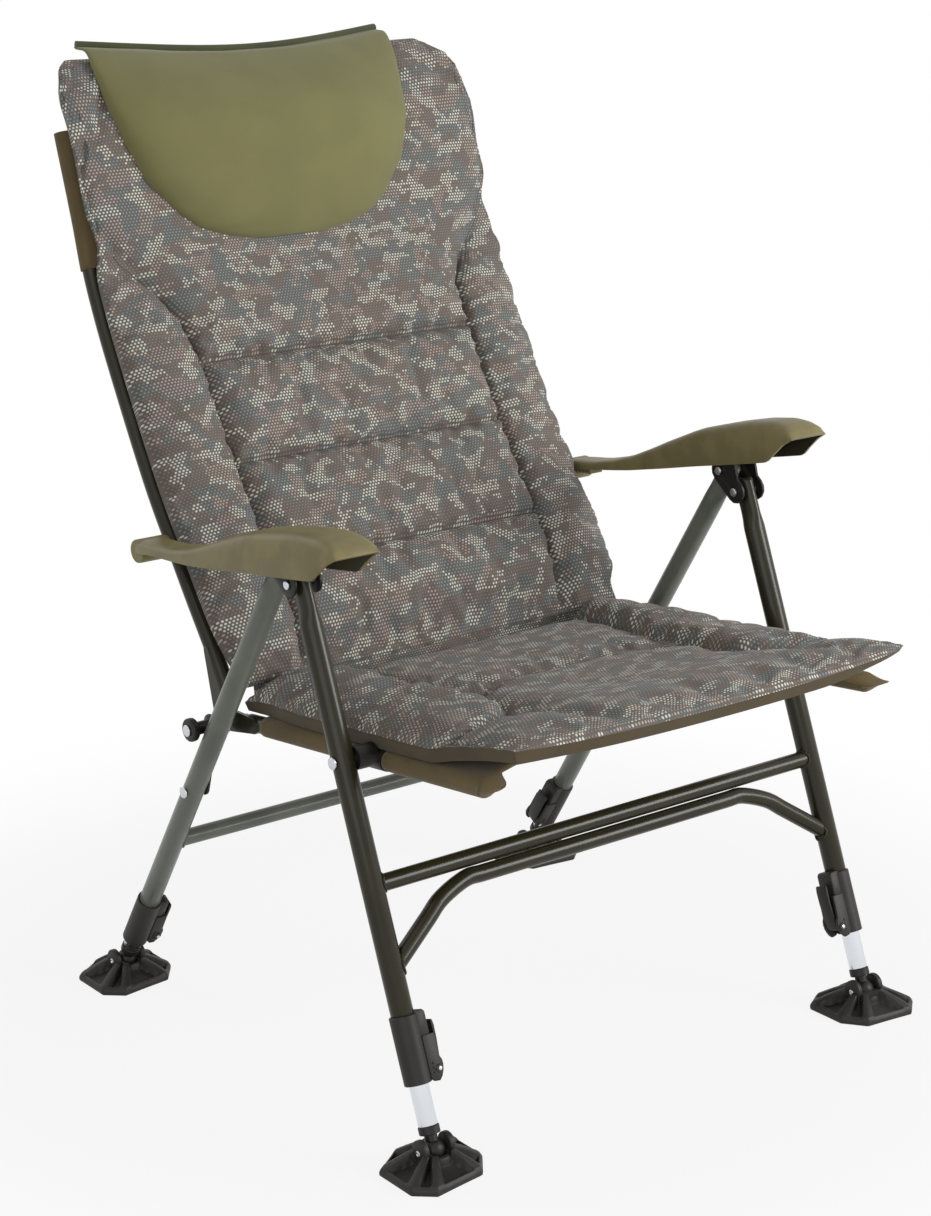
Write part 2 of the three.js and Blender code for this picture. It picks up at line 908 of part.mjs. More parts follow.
// Recline knob: a disc outboard of the leg, a neck past it and a flared washer end
function reclineKnob() {
  const discInner = legOuterX - legRadius / 8;
  const flareOuter = legInnerX + legRadius * 0.28;
  const flareInner = legInnerX + gap * 2;
  const soft = knobDiscThickness / 6;
  const profile = [
    [-discInner - knobDiscThickness, knobDiscRadius - soft],
    [-discInner - knobDiscThickness + soft, knobDiscRadius],
    [-discInner - soft, knobDiscRadius],
    [-discInner, knobDiscRadius - soft],
    [-discInner + soft, knobNeckRadius],
    [-flareOuter - soft, knobNeckRadius],
    [-flareOuter, knobFlareRadius],
    [-flareInner, knobFlareRadius],
  ];
  const body = turned(profile).rotateY(Math.PI / 2);
  const bore = barX(boltRadius + runningFit, -legOuterX - knobFlareRadius - knobDiscRadius, -seatTubeX);
  return cut(body, bore);
}

function reclineBolt() {
  const outer = -(legOuterX - legRadius / 8 + knobDiscThickness) - gap;
  return plainPin(outer, -seatTubeX + frameRadius + boltHeadHeight);
}

// Back side tube: the curve of the side view with a lug at the recline pin
function backSideTube() {
  const path = backTubePath();
  const tube = tubeAlong(path, frameRadius, backTubeSteps);
  const pin = sidePoint(reclinePin);
  const reach = path[1];
  const outline = strapOutline([pin.y, pin.z, hingeLugRadius], [reach.y, reach.z, frameRadius / 2]);
  const outer = -frameRadius;
  const lug = plateX(outline, outer, outer + hingeLugThickness);
  const half = frameTubeDiameter;
  const pinHole = barX(boltRadius + runningFit, -half, half).translate(0, pin.y, pin.z);
  const arm = sidePoint(armPin);
  const armHole = barX(boltRadius + runningFit, -half, half).translate(0, arm.y, arm.z);
  return cut(join(tube, lug), pinHole, armHole);
}

function backTopDirection() {
  const [before, last] = backTubePath().slice(-2);
  return last.clone().sub(before).normalize();
}

function backTopBar() {
  const [top] = backTubePath().slice(-1);
  const place = top.addScaledVector(backTopDirection(), -backBarDown);
  const end = backTubeX - frameRadius - gap;
  return barX(crossRadius, -end, end, tubeFaces).translate(0, place.y, place.z);
}

// The pocket that slips over the top of the back frame
function backPocket() {
  const curve = new THREE.CatmullRomCurve3(backTubePath(), false, "centripetal");
  const length = curve.getLength();
  const inner = frameRadius + slidingFit + gap;
  const outer = inner + backPocketWall;
  const loop = (radius, down) => {
    const ring = [];
    const share = Math.min(1, 1 - down / length);
    const place = curve.getPointAt(share);
    const along = curve.getTangentAt(share);
    place.addScaledVector(along, Math.max(0, -down));
    for (const way of [1, -1]) {
      for (let k = 0; k <= backPocketSteps; k += 1) {
        const angle = (way > 0 ? -Math.PI / 2 : Math.PI / 2) + (Math.PI * k) / backPocketSteps;
        const across = radius * Math.sin(angle);
        const x = way * backTubeX + radius * Math.cos(angle);
        ring.push(new THREE.Vector3(x, place.y + across * along.z, place.z - across * along.y));
      }
    }
    return ring;
  };
  const stations = [1, 0.8, 0.6, 0.4, 0.2].map((share) => share * backPocketLength);
  const shell = skin([...stations, -gap - backPocketWall].map((down) => loop(outer, down)));
  const hollow = skin([backPocketLength + overshoot, ...stations.slice(1), -gap].map((down) => loop(inner, down)));
  return cut(shell, hollow);
}

// Armrest: a moulded shell open underneath, with a hub, stiffening ribs and a toothed rack
function armSection(k, inset, drop) {
  const [topY, topZ] = armTop[k];
  const [bottomY, bottomZ] = armBottom[k];
  const outer = -armOuterX[k] + inset;
  const inner = -armInnerX[k] - inset;
  const top = topZ - inset;
  const bottom = Math.min(bottomZ, top - armWall) - drop;
  const round = Math.min(armRound, (top - bottom) * 0.6, (inner - outer) * 0.4);
  const crown = armWall / 2;
  const lean = (z) => (topY - bottomY) * ((z - bottomZ) / Math.max(topZ - bottomZ, armWall)) + bottomY;
  const point = (x, z) => new THREE.Vector3(x, lean(z), z);
  const soft = round * 0.3;
  return [
    point(outer, bottom),
    point(outer, top - round - crown),
    point(outer + soft, top - soft - crown),
    point(outer + round, top - crown / 2),
    point((outer + inner) / 2, top),
    point(inner - round, top - crown / 2),
    point(inner - soft, top - soft - crown),
    point(inner, top - round - crown),
    point(inner, bottom),
    point((outer + inner) / 2, bottom),
  ].reverse();
}

function armrest() {
  const stations = armTop.map((_, k) => k);
  const shell = skin(stations.map((k) => armSection(k, 0, 0)));
  const inside = stations.slice(1, -1);
  const hollow = skin(inside.map((k) => armSection(k, armWall, armRound)));
  const hub = barX(armHubRadius, -armOuterX[2] + armWall / 2, -armInnerX[2], pathFaces);
  const [, , , ribTop] = armTop;
  const [, , , ribBottom] = armBottom;
  const [, , , ribInner] = armInnerX;
  const [, , , ribOuter] = armOuterX;
  const ribs = [];
  for (let k = 0; k < armRibCount; k += 1) {
    const y = -armRibFirst - k * armRibSpacing;
    ribs.push(
      box(
        -ribOuter + armWall / 2,
        -ribInner - armWall / 2,
        y - armRibThickness,
        y,
        ribBottom[1] + armWall + k,
        ribTop[1],
      ),
    );
  }
  const rack = armRack();
  const trimmed = common(join(hub, ...ribs, rack), join(shell, hub));
  const body = join(cut(shell, hollow), trimmed);
  const pinHole = barX(boltRadius + runningFit, -armOuterX[2] + armWall, -armInnerX[2] + overshoot);
  const [noseFront] = armTop[armTop.length - 1];
  const [noseInner] = armInnerX.slice(-1);
  const [noseOuter] = armOuterX.slice(-1);
  const mouth = box(
    -noseOuter + armWall,
    -noseInner - armWall,
    noseFront - overshoot,
    noseFront + armMouth,
    armLip - armHubRadius * 4,
    armLip,
  );
  return withoutSlivers(cut(body, pinHole, mouth));
}

function armRack() {
  const outline = [];
  const start = armRackStart;
  const lower = (behind) => armRackUnderside(behind);
  const teeth = Math.round(armRackLength / armToothPitch);
  for (let k = 0; k < teeth; k += 1) {
    const y = armRackStart + k * armToothPitch;
    outline.push([y, lower(y)]);
    outline.push([y + armToothPitch / 2, lower(y)]);
    outline.push([y + armToothPitch * 0.6, lower(y) + armToothDepth / 2]);
    outline.push([y + armToothPitch, lower(y) + armToothDepth / 2]);
  }
  outline.push([start + armRackLength, lower(armRackStart) + armHubRadius * 4]);
  outline.push([start, lower(armRackStart) + armHubRadius * 4]);
  const middle = -(armInnerX[9] + armOuterX[9]) / 2;
  return plateX(outline, middle - armRackThickness / 2, middle + armRackThickness / 2);
}

function armRackUnderside(behind) {
  const k = armTop.findIndex(([y]) => y < behind);
  const [y0, z0] = armTop[k - 1];
  const [y1, z1] = armTop[k];
  const z = z0 + ((z1 - z0) * (behind - y0)) / (y1 - y0);
  return z - armWall - armToothDepth;
}

// Cushions: a fine front face, a plain rear face and a rim between them
function cushion(rows, columns, front, rear) {
  const points = [];
  const faces = [];
  const at = (r, c) => r * (columns + 1) + c;
  for (let r = 0; r <= rows; r += 1) {
    for (let c = 0; c <= columns; c += 1) {
      points.push(front(r / rows, (2 * c) / columns - 1));
    }
  }
  for (let r = 0; r < rows; r += 1) {
    for (let c = 0; c < columns; c += 1) {
      faces.push(at(r, c), at(r, c + 1), at(r + 1, c + 1), at(r, c), at(r + 1, c + 1), at(r + 1, c));
    }
  }
  const rim = [];
  for (let c = 0; c < columns; c += 1) rim.push([0, c]);
  for (let r = 0; r < rows; r += 1) rim.push([r, columns]);
  for (let c = columns; c > 0; c -= 1) rim.push([rows, c]);
  for (let r = rows; r > 0; r -= 1) rim.push([r, 0]);
  const base = points.length;
  rim.forEach(([r, c]) => points.push(rear(r / rows, (2 * c) / columns - 1)));
  const count = rim.length;
  for (let k = 0; k < count; k += 1) {
    const next = (k + 1) % count;
    const a = at(...rim[k]);
    const b = at(...rim[next]);
    faces.push(a, base + k, b, b, base + k, base + next);
  }
  const left = (r) => base + (r === 0 ? 0 : count - r);
  const right = (r) => base + columns + r;
  for (let r = 0; r < rows; r += 1) {
    if (r === 0) {
      for (let c = 0; c < columns; c += 1) faces.push(base + c, left(1), base + c + 1);
      faces.push(right(0), left(1), right(1));
    } else if (r === rows - 1) {
      faces.push(left(r), base + columns + rows + columns, right(r));
      for (let c = 0; c < columns; c += 1) {
        const k = base + columns + rows + c;
        faces.push(right(r), k + 1, k);
      }
    } else {
      faces.push(left(r), left(r + 1), right(r), right(r), left(r + 1), right(r + 1));
    }
  }
  const geometry = new THREE.BufferGeometry().setFromPoints(points);
  geometry.setIndex(faces);
  const flat = geometry.toNonIndexed();
  flat.computeVertexNormals();
  return flat;
}

// How deep a sewn line presses in at a distance from it
function seam(distance, depth = seamDepth) {
  return depth * Math.exp(-((distance / seamWidth) ** 2));
}

// The pads thin towards the crease between seat and back, so that the back can fold forward
function creaseTaper(distance) {
  return THREE.MathUtils.smoothstep(distance, -creaseLength / 4, creaseLength);
}

// The share of the full crown left near an edge
function edgeRound(share, power = 6) {
  return Math.sqrt(Math.max(0, 1 - Math.abs(share) ** power));
}

// Seat pad in the seat's own frame, where the front is at minus Y
function seatPad() {
  const spread = (u) => Math.sin((u * Math.PI) / 2) * 0.35 + u * 0.65;
  const rearNarrowing = (v) => seatPadRearNarrowing * THREE.MathUtils.smoothstep(0.24 - v, 0, 0.16);
  const frontNarrowing = (v) => 0.04 * Math.max(0, (v - 0.9) / 0.1) ** 2;
  const halfWidth = (v) => seatPadHalfWidth * (1 - frontNarrowing(v)) - rearNarrowing(v);
  const along = (v, u) => {
    const corner = Math.max(0, Math.abs(u) - 0.84) / 0.16;
    const front = seatPadFront * (1 - 0.026 * corner ** 2);
    return seatPadRear + (front - seatPadRear) * v;
  };
  const base = (v) => seatPadBase + seatPadFrontLift * THREE.MathUtils.smoothstep(v, seatPadLiftStart, 1);
  const height = (v, u) => {
    const before = along(v, u);
    const x = Math.abs(spread(u)) * halfWidth(v);
    const bolster = between(seatBolsterLine, before);
    const outside = THREE.MathUtils.smoothstep(x - bolster, 0, seamWidth);
    const bend = seatChannelBend * THREE.MathUtils.smoothstep(x, seatChannelBendFrom, seatChannelBendTo);
    const side = seam(x - bolster, seatSeamDepth);
    const cross = seam(before - seatChannel - bend, seatSeamDepth * 0.7) * (1 - outside);
    const crown = seatPadCrown * edgeRound(spread(u), 5) * edgeRound(2 * v - 1, 14);
    const rise = seatBolsterRise * outside * edgeRound(spread(u), 3);
    const swell = seatPadBoxing + Math.max(0, crown + rise - Math.max(side, cross));
    return base(v) + creaseThickness + (swell - creaseThickness) * creaseTaper(before - seatPadRear);
  };
  const front = (v, u) => new THREE.Vector3(spread(u) * halfWidth(v), -along(v, u), height(v, u));
  const rear = (v, u) => new THREE.Vector3(spread(u) * halfWidth(v) * 0.985, -along(v, u) * 0.995, base(v));
  return cushion(seatPadRows, padColumns, (v, u) => front(v, -u), (v, u) => rear(v, -u));
}

// The side view of the back pad's base line with its forward normal
function backLine() {
  const path = backTubePath();
  const end = path[path.length - 1];
  for (const [behind, above] of headRoll) {
    path.push(new THREE.Vector3(0, end.y + behind, end.z + above));
  }
  return new THREE.CatmullRomCurve3(path, false, "centripetal");
}

function padShareOfLine(curve) {
  return 1 - pillowPastPad / curve.getLength();
}

// The crown of the back pad thins towards its top edge
function headTaper(v) {
  return 1 - headThinning * THREE.MathUtils.smoothstep(v, headTaperStart, headTaperEnd);
}

function backPlace(curve, v, x, lift) {
  const p = curve.getPointAt(v);
  const t = curve.getTangentAt(v);
  return new THREE.Vector3(x, p.y - t.z * lift, p.z + t.y * lift);
}

function backHalfWidth(v) {
  const head = Math.max(0, (v - 0.92) / 0.08);
  const notch = Math.exp(-(((v - 0.72) / 0.035) ** 2));
  const hips = Math.max(0, (0.12 - v) / 0.12);
  return backPadHalfWidth * (1 - 0.12 * head ** 2 - 0.03 * notch - 0.06 * hips ** 2);
}

function backPad() {
  const curve = backLine();
  const spread = (u) => Math.sin((u * Math.PI) / 2) * 0.35 + u * 0.65;
  const share = padShareOfLine(curve);
  const length = share * curve.getLength();
  const lift = (v, u) => {
    const x = Math.abs(spread(u)) * backHalfWidth(v);
    const up = v * length;
    const bolster = between(backBolsterLine, up);
    const crown = backPadCrown * edgeRound(spread(u), 5) * edgeRound(2 * v - 1, 16) * headTaper(v);
    const toChannel = Math.min(...backChannels.map((c) => Math.abs(up - c)));
    const inside = x < bolster && up < backChannelTop;
    const press = Math.max(seam(x - bolster), inside ? seam(toChannel) : 0);
    const swell = backPadBoxing + Math.max(0, crown - press);
    return backPadBase + creaseThickness + (swell - creaseThickness) * creaseTaper(up);
  };
  const front = (v, u) => backPlace(curve, v * share, spread(u) * backHalfWidth(v), lift(v, u));
  const rear = (v, u) => backPlace(curve, v * share, spread(u) * backHalfWidth(v) * 0.985, backPadBase);
  return cushion(backPadRows, padColumns, front, rear);
}

function pillow() {
  const curve = backLine();
  const length = curve.getLength();
  const share = padShareOfLine(curve);
  const base = (w) => {
    const v = place(w) / share;
    const over = THREE.MathUtils.smoothstep(v, 1, 1 / share);
    return backPadBase + backPadBoxing + backPadCrown * headTaper(v) + pillowClear - pillowDip * over;
  };
  const start = 1 - pillowLength / length;
  const place = (w) => start + (w * pillowLength) / length;
  const halfWidth = (w) => pillowHalfWidth * between(pillowOutline_share, w);
  const spread = (u) => Math.sin((u * Math.PI) / 2) * 0.4 + u * 0.6;
  const lift = (w, u) => {
    const swell = edgeRound(spread(u), 3) * Math.sqrt(Math.sin(Math.PI * (0.04 + 0.92 * w)));
    return base(w) + pillowEdge + (pillowCrown - pillowEdge) * swell;
  };
  const warp = (t) => t ** 1.6;
  const sagged = (w, u) => place(w) - (pillowSag / length) * w ** 3 * (1 - u ** 2);
  const across = (w, u) => spread(u) * halfWidth(w) - pillowOffset;
  const front = (t, u) => backPlace(curve, sagged(warp(t), u), across(warp(t), u), lift(warp(t), u));
  const rear = (t, u) => backPlace(curve, sagged(warp(t), u), across(warp(t), u), base(warp(t)));
  return cushion(pillowRows, pillowColumns, front, rear);
}

// The value at a place in a list of [place, value] pairs
function between(pairs, place) {
  const k = Math.max(1, pairs.findIndex(([at]) => at >= place));
  const [a, b] = [pairs[k - 1], pairs[k]];
  return a[1] + ((b[1] - a[1]) * (place - a[0])) / (b[0] - a[0]);
}

// Seat sling: a taut sheet with a sleeve round each seat tube and a hollowed front hem
function seatSling() {
  const inner = frameRadius + slidingFit;
  const outer = inner + sleeveWall;
  const front = seatTubeLength + gap * 10;
  const rear = hingeLugLength + frameRadius + gap * 10;
  const sleeves = [-1, 1].map((way) =>
    barY(outer, -front, -rear, tubeFaces).translate(way * seatTubeX, 0, 0),
  );
  const sheet = box(-seatTubeX, seatTubeX, -front, -rear, outer - sheetThickness, outer);
  const bores = [-1, 1].map((way) =>
    barY(inner, -front - overshoot, -rear + overshoot, tubeFaces).translate(way * seatTubeX, 0, 0),
  );
  const clampReach = seatClampLength / 2 + gap * 8;
  const windows = [-1, 1].map((way) => {
    const edge = way * (seatTubeX - seatClampDiameter / 2 - gap * 4);
    const far = way * (seatTubeX + seatClampDiameter);
    return box(
      Math.min(edge, far),
      Math.max(edge, far),
      -seatPinAlongSeat() - clampReach,
      -seatPinAlongSeat() + clampReach,
      -seatClampDiameter,
      seatClampDiameter,
    );
  });
  const hem = barZ(1, -seatClampDiameter, seatClampDiameter, hemFaces);
  hem.scale(seatTubeX - outer - gap, hemDepth, 1).translate(0, -front - gap, 0);
  return cut(join(...sleeves, sheet), ...bores, ...windows, hem);
}

// Assembly: front legs and what they carry
function buildAdjuster(frame, place, side, clampBottom) {
  const sign = signOf[side];
  const clamp = add(frame, `${place}_clamp`, forSide(clampBody(), side), mouldedPlastic(colours.charcoal), side);
  clamp.position.z = clampBottom;
  const lever = add(frame, `${place}_lever`, forSide(clampLever(), side), mouldedPlastic(colours.black), side);
  lever.position.set(-sign * leverPinX(), 0, clampBottom + leverPinZ());
  add(frame, `${place}_inner_tube`, innerTube(), brightMetal(), side);
  add(frame, `${place}_ball_stud`, ballStud(), mouldedPlastic(colours.black), side);
}

function buildFeet(place, behind) {
  for (const side of sides) {
    const foot = add(chair, `${place}_mud_foot`, forSide(mudFoot(), side), mouldedPlastic(colours.charcoal), side);
    foot.position.set(signOf[side] * legX, frontFootY + behind, 0);
  }
}

function buildFrontLegs() {
  const ground = sideVector([0, ballHeight]);
  for (const side of sides) {
    const place = ground.clone().setX(signOf[side] * legX);
    const frame = frameAt(chair, place, -frontLean);
    add(frame, "front_leg", frontLegTube(), glossPaint(), side);
    buildAdjuster(frame, "front", side, frontClampBottom);
  }
  const plane = frameAt(chair, ground, -frontLean);
  add(plane, "front_cross_tube_upper", upperCrossTube(), glossPaint());
  add(plane, "front_cross_tube_lower", lowerCrossTube(), glossPaint());
  buildFeet("front", 0);
}

function buildRearLegs() {
  const ground = sideVector([rearFootBehind, ballHeight]);
  for (const side of sides) {
    const place = ground.clone().setX(signOf[side] * legX);
    const frame = frameAt(chair, place, rearLean);
    add(frame, "rear_leg", rearLegTube(), satinPaint(), side);
    buildAdjuster(frame, "rear", side, rearClampBottom);
  }
  const plane = frameAt(chair, ground, rearLean);
  add(plane, "rear_cross_tube", rearCrossTube(), satinPaint());
  buildFeet("rear", rearFootBehind);
}

function buildBrackets() {
  for (const side of sides) {
    const sign = signOf[side];
    const bracket = add(chair, "top_bracket", topBracket(), mouldedPlastic(colours.black), side);
    bracket.position.copy(sidePoint(frontPin)).setX(sign * legX);
    const reach = cheekX + cheekThickness + gap;
    const pivot = add(chair, "front_pivot_bolt", forSide(headedBolt(-reach, reach), side), zincPlate(), side);
    pivot.position.copy(sidePoint(frontPin)).setX(sign * legX);
    const rivet = add(chair, "bracket_rivet", forSide(headedBolt(-reach, reach), side), zincPlate(), side);
    rivet.position.copy(sidePoint(rearPin)).setX(sign * legX);
  }
}

function buildSeat() {
  const frame = frameAt(chair, sidePoint(reclinePin), -seatSlope);
  for (const side of sides) {
    const sign = signOf[side];
    const tube = add(frame, "seat_side_tube", forSide(seatSideTube(), side), glossPaint(), side);
    tube.position.x = sign * seatTubeX;
    const clamp = add(frame, "seat_clamp", forSide(seatClamp(), side), mouldedPlastic(colours.black), side);
    clamp.position.x = sign * seatTubeX;
    const bolt = forSide(plainPin(-legOuterX - gap, -seatTubeX - frameRadius - gap * 4), side);
    const pivot = add(chair, "seat_pivot_bolt", bolt, zincPlate(), side);
    pivot.position.copy(sidePoint(seatPin));
    const link = add(chair, "rear_link", forSide(rearLink(), side), mouldedPlastic(colours.charcoal), side);
    link.position.copy(sidePoint(reclinePin));
    const linkBolt = forSide(plainPin(-legOuterX - gap, -legInnerX - gap), side);
    const rivet = add(chair, "link_bolt", linkBolt, zincPlate(), side);
    rivet.position.copy(sidePoint(linkPin));
    const knob = add(chair, "recline_knob", forSide(reclineKnob(), side), mouldedPlastic(colours.black), side);
    knob.position.copy(sidePoint(reclinePin));
    const axle = add(chair, "recline_bolt", forSide(reclineBolt(), side), zincPlate(), side);
    axle.position.copy(sidePoint(reclinePin));
  }
  add(frame, "seat_sling", seatSling(), woven(colours.khaki));
  add(frame, "seat_pad", seatPad(), woven(colours.camo));
}

function buildBack() {
  for (const side of sides) {
    const sign = signOf[side];
    const tube = add(chair, "back_side_tube", forSide(backSideTube(), side), glossPaint(), side);
    tube.position.x = sign * backTubeX;
    const pinOuter = -armOuterX[2] + armWall + gap * 2;
    const pin = forSide(plainPinFromInside(pinOuter, -backTubeX + frameRadius + gap), side);
    const armBolt = add(chair, "armrest_pin", pin, zincPlate(), side);
    armBolt.position.copy(sidePoint(armPin));
    const arm = add(chair, "armrest", forSide(armrest(), side), mouldedPlastic(colours.armrest), side);
    arm.position.copy(sidePoint(armPin));
    if (side === "left") arm.rotation.x = THREE.MathUtils.degToRad(-leftArmLift);
  }
  add(chair, "back_top_bar", backTopBar(), glossPaint());
  add(chair, "back_pocket", backPocket(), woven(colours.khaki));
  add(chair, "back_pad", backPad(), woven(colours.camo));
  add(chair, "head_pillow", pillow(), woven(colours.olive));
}

// The armrest pin is headed on the side of the back pad and blind in the armrest
function plainPinFromInside(outer, inner) {
  const profile = [
    [outer, boltRadius],
    [inner, boltRadius],
    [inner, boltHeadRadius],
    [inner + boltHeadHeight, boltHeadRadius * 0.8],
  ];
  return turned(profile, smallFaces).rotateY(Math.PI / 2);
}

buildFrontLegs();
buildRearLegs();
buildBrackets();
buildSeat();
buildBack();

export default chair;
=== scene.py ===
import json
import math

import bmesh
import bpy
import numpy as np
from mathutils import Matrix, Vector


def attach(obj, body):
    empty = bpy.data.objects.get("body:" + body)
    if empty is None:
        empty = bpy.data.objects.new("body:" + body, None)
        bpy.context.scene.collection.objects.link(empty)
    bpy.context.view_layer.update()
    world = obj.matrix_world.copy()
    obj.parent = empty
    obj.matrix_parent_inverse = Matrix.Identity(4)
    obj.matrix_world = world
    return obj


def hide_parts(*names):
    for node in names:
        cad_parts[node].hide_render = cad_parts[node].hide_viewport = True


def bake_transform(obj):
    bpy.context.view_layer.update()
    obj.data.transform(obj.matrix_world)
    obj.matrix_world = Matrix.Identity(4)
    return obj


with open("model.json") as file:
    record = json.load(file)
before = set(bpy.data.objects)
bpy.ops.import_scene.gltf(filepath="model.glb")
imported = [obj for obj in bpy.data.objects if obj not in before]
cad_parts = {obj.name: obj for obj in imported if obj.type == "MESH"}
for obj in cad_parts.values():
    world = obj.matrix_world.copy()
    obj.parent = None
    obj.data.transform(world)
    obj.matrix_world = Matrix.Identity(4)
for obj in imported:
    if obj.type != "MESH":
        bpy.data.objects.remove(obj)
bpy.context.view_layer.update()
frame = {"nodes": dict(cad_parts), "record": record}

# A high-backed folding fishing chair. Lengths are written in millimetres and built in metres.
MM = 0.001
SIDES = {"right": -1, "left": 1}

# Side view, behind the front foot and above the floor, as in the frame
FRONT_FOOT_Y = -366
BALL_HEIGHT = 24
REAR_FOOT = 614
FRONT_PIN = (224, 587)
REAR_PIN = (251, 608)
RECLINE_PIN = (425, 372)
ARM_PIN = (530, 556)
LEG_X = 319
SEAT_TUBE_X = 272
BACK_TUBE_X = 284
LEG_RADIUS = 12.5
BAR_RADIUS = 9.5
# Cross bars end at this radius about a leg's axis, just inside its surface
BAR_STOP = 11.8
# Heights of the cross bars along the legs
UPPER_BAR, LOWER_BAR, REAR_BAR = 281, 190, 223
FRONT_LEAN = math.atan2(FRONT_PIN[0], FRONT_PIN[1] - BALL_HEIGHT)
REAR_LEAN = math.atan2(REAR_FOOT - REAR_PIN[0], REAR_PIN[1] - BALL_HEIGHT)
FRONT_REACH = math.hypot(FRONT_PIN[0], FRONT_PIN[1] - BALL_HEIGHT)
REAR_REACH = math.hypot(REAR_FOOT - REAR_PIN[0], REAR_PIN[1] - BALL_HEIGHT)
SEAT_PIN_HEIGHT = 409
SEAT_PIN_ABOVE_TUBE = 6.8
SEAT_PIN_BEHIND = (SEAT_PIN_HEIGHT - BALL_HEIGHT) * math.tan(FRONT_LEAN)
SEAT_PIN_REACH = math.hypot(RECLINE_PIN[0] - SEAT_PIN_BEHIND, SEAT_PIN_HEIGHT - RECLINE_PIN[1])
SEAT_SLOPE = math.atan2(SEAT_PIN_HEIGHT - RECLINE_PIN[1], RECLINE_PIN[0] - SEAT_PIN_BEHIND) - math.asin(
    SEAT_PIN_ABOVE_TUBE / SEAT_PIN_REACH)
BACK_PATH = [(424, 404), (454, 450), (492, 502), (530, 556), (568, 611), (632, 722), (668, 790), (692, 845),
             (710, 905), (742, 1000)]
HEAD_ROLL = [(22, 34), (51, 56), (84, 71)]


# Placing
def side_point(behind, height, x=0.0):
    return Vector((x, FRONT_FOOT_Y + behind, height))


def quarter_turn(way, axis):
    return Matrix.Rotation(way * math.pi / 2, 4, axis)


def leg_place(x, foot, lean):
    """From a leg's own axis, upwards from its ball, to the chair."""
    return Matrix.Translation(side_point(foot, BALL_HEIGHT, x)) @ Matrix.Rotation(lean, 4, "X")


def front_leg_place(x):
    return leg_place(x, 0, -FRONT_LEAN)


def rear_leg_place(x):
    return leg_place(x, REAR_FOOT, REAR_LEAN)


def seat_place():
    return Matrix.Translation(side_point(*RECLINE_PIN)) @ Matrix.Rotation(-SEAT_SLOPE, 4, "X")


# Meshes
def added(name, data):
    """A new object in the scene."""
    piece = bpy.data.objects.new(name, data)
    bpy.context.scene.collection.objects.link(piece)
    return piece


def smoothed(piece, limit):
    """Smooth faces, with sharp edges from an angle on."""
    piece.data.polygons.foreach_set("use_smooth", [True] * len(piece.data.polygons))
    piece.data.set_sharp_from_angle(angle=math.radians(limit))
    return piece


def solid(name, points, faces, finish, place=Matrix.Identity(4), sharp=35.0, uvs=None, marks=None):
    """A mesh in metres at its place. With a list of finishes, marks gives each face its own."""
    mesh = bpy.data.meshes.new(name)
    mesh.from_pydata([tuple(p) for p in points], [], [tuple(f) for f in faces])
    mesh.transform(Matrix.Scale(MM, 4) @ place)
    for material in finish if marks else [finish]:
        mesh.materials.append(material)
    if marks:
        mesh.polygons.foreach_set("material_index", marks)
    if uvs is not None:
        layer = mesh.uv_layers.new(name="cloth")
        loops = np.empty(len(mesh.loops), np.int32)
        mesh.loops.foreach_get("vertex_index", loops)
        layer.data.foreach_set("uv", (np.asarray(uvs)[loops] * MM).astype(np.float32).ravel())
    piece = smoothed(added(name, mesh), sharp)
    mesh.update()
    return piece


def grid_faces(rows, columns):
    """The faces of a grid of points that is listed row by row."""
    corners = [r * columns + c for r in range(rows - 1) for c in range(columns - 1)]
    return [(q, q + 1, q + columns + 1, q + columns) for q in corners]


def ring_faces(rings, count, closed_path=False):
    """The faces of rings of points along a path, with a flat face at each end or, closed, none."""
    faces = []
    for r in range(rings if closed_path else rings - 1):
        for k in range(count):
            n = (k + 1) % count
            a, b = r * count, ((r + 1) % rings) * count
            faces.append((a + k, a + n, b + n, b + k))
    if not closed_path:
        faces.append(tuple(range(count - 1, -1, -1)))
        faces.append(tuple(range((rings - 1) * count, rings * count)))
    return faces


def turned(name, profile, finish, place=Matrix.Identity(4), faces=40, sharp=35.0):
    """A body turned about its Z from (height, radius) or (height, radius, depth radius)."""
    points = []
    for row in profile:
        z, across, deep = row if len(row) == 3 else (row[0], row[1], row[1])
        for k in range(faces):
            a = 2 * math.pi * k / faces
            points.append((across * math.cos(a), deep * math.sin(a), z))
    return solid(name, points, ring_faces(len(profile), faces), finish, place, sharp)


def smooth_path(points, steps):
    """Evenly stepped centripetal curve through points, and its length."""
    knots = [Vector(p) for p in points]
    knots = [knots[0] * 2 - knots[1]] + knots + [knots[-1] * 2 - knots[-2]]
    out = []
    for i in range(1, len(knots) - 2):
        near, times = knots[i - 1:i + 3], [0.0]
        for a, b in zip(near, near[1:]):
            times.append(times[-1] + max((b - a).length, 1e-6) ** 0.5)
        for t in np.linspace(times[1], times[2], 24, endpoint=False):
            first = [a.lerp(b, (t - s) / (e - s)) for a, b, s, e in zip(near, near[1:], times, times[1:])]
            second = [a.lerp(b, (t - s) / (e - s)) for a, b, s, e in zip(first, first[1:], times, times[2:])]
            out.append(second[0].lerp(second[1], (t - times[1]) / (times[2] - times[1])))
    out.append(knots[-2])
    dense = np.array([tuple(p) for p in out])
    along = np.concatenate([[0], np.cumsum(np.linalg.norm(np.diff(dense, axis=0), axis=1))])
    even = np.linspace(0, along[-1], steps)
    return np.stack([np.interp(even, along, dense[:, k]) for k in range(3)], axis=1), along[-1]


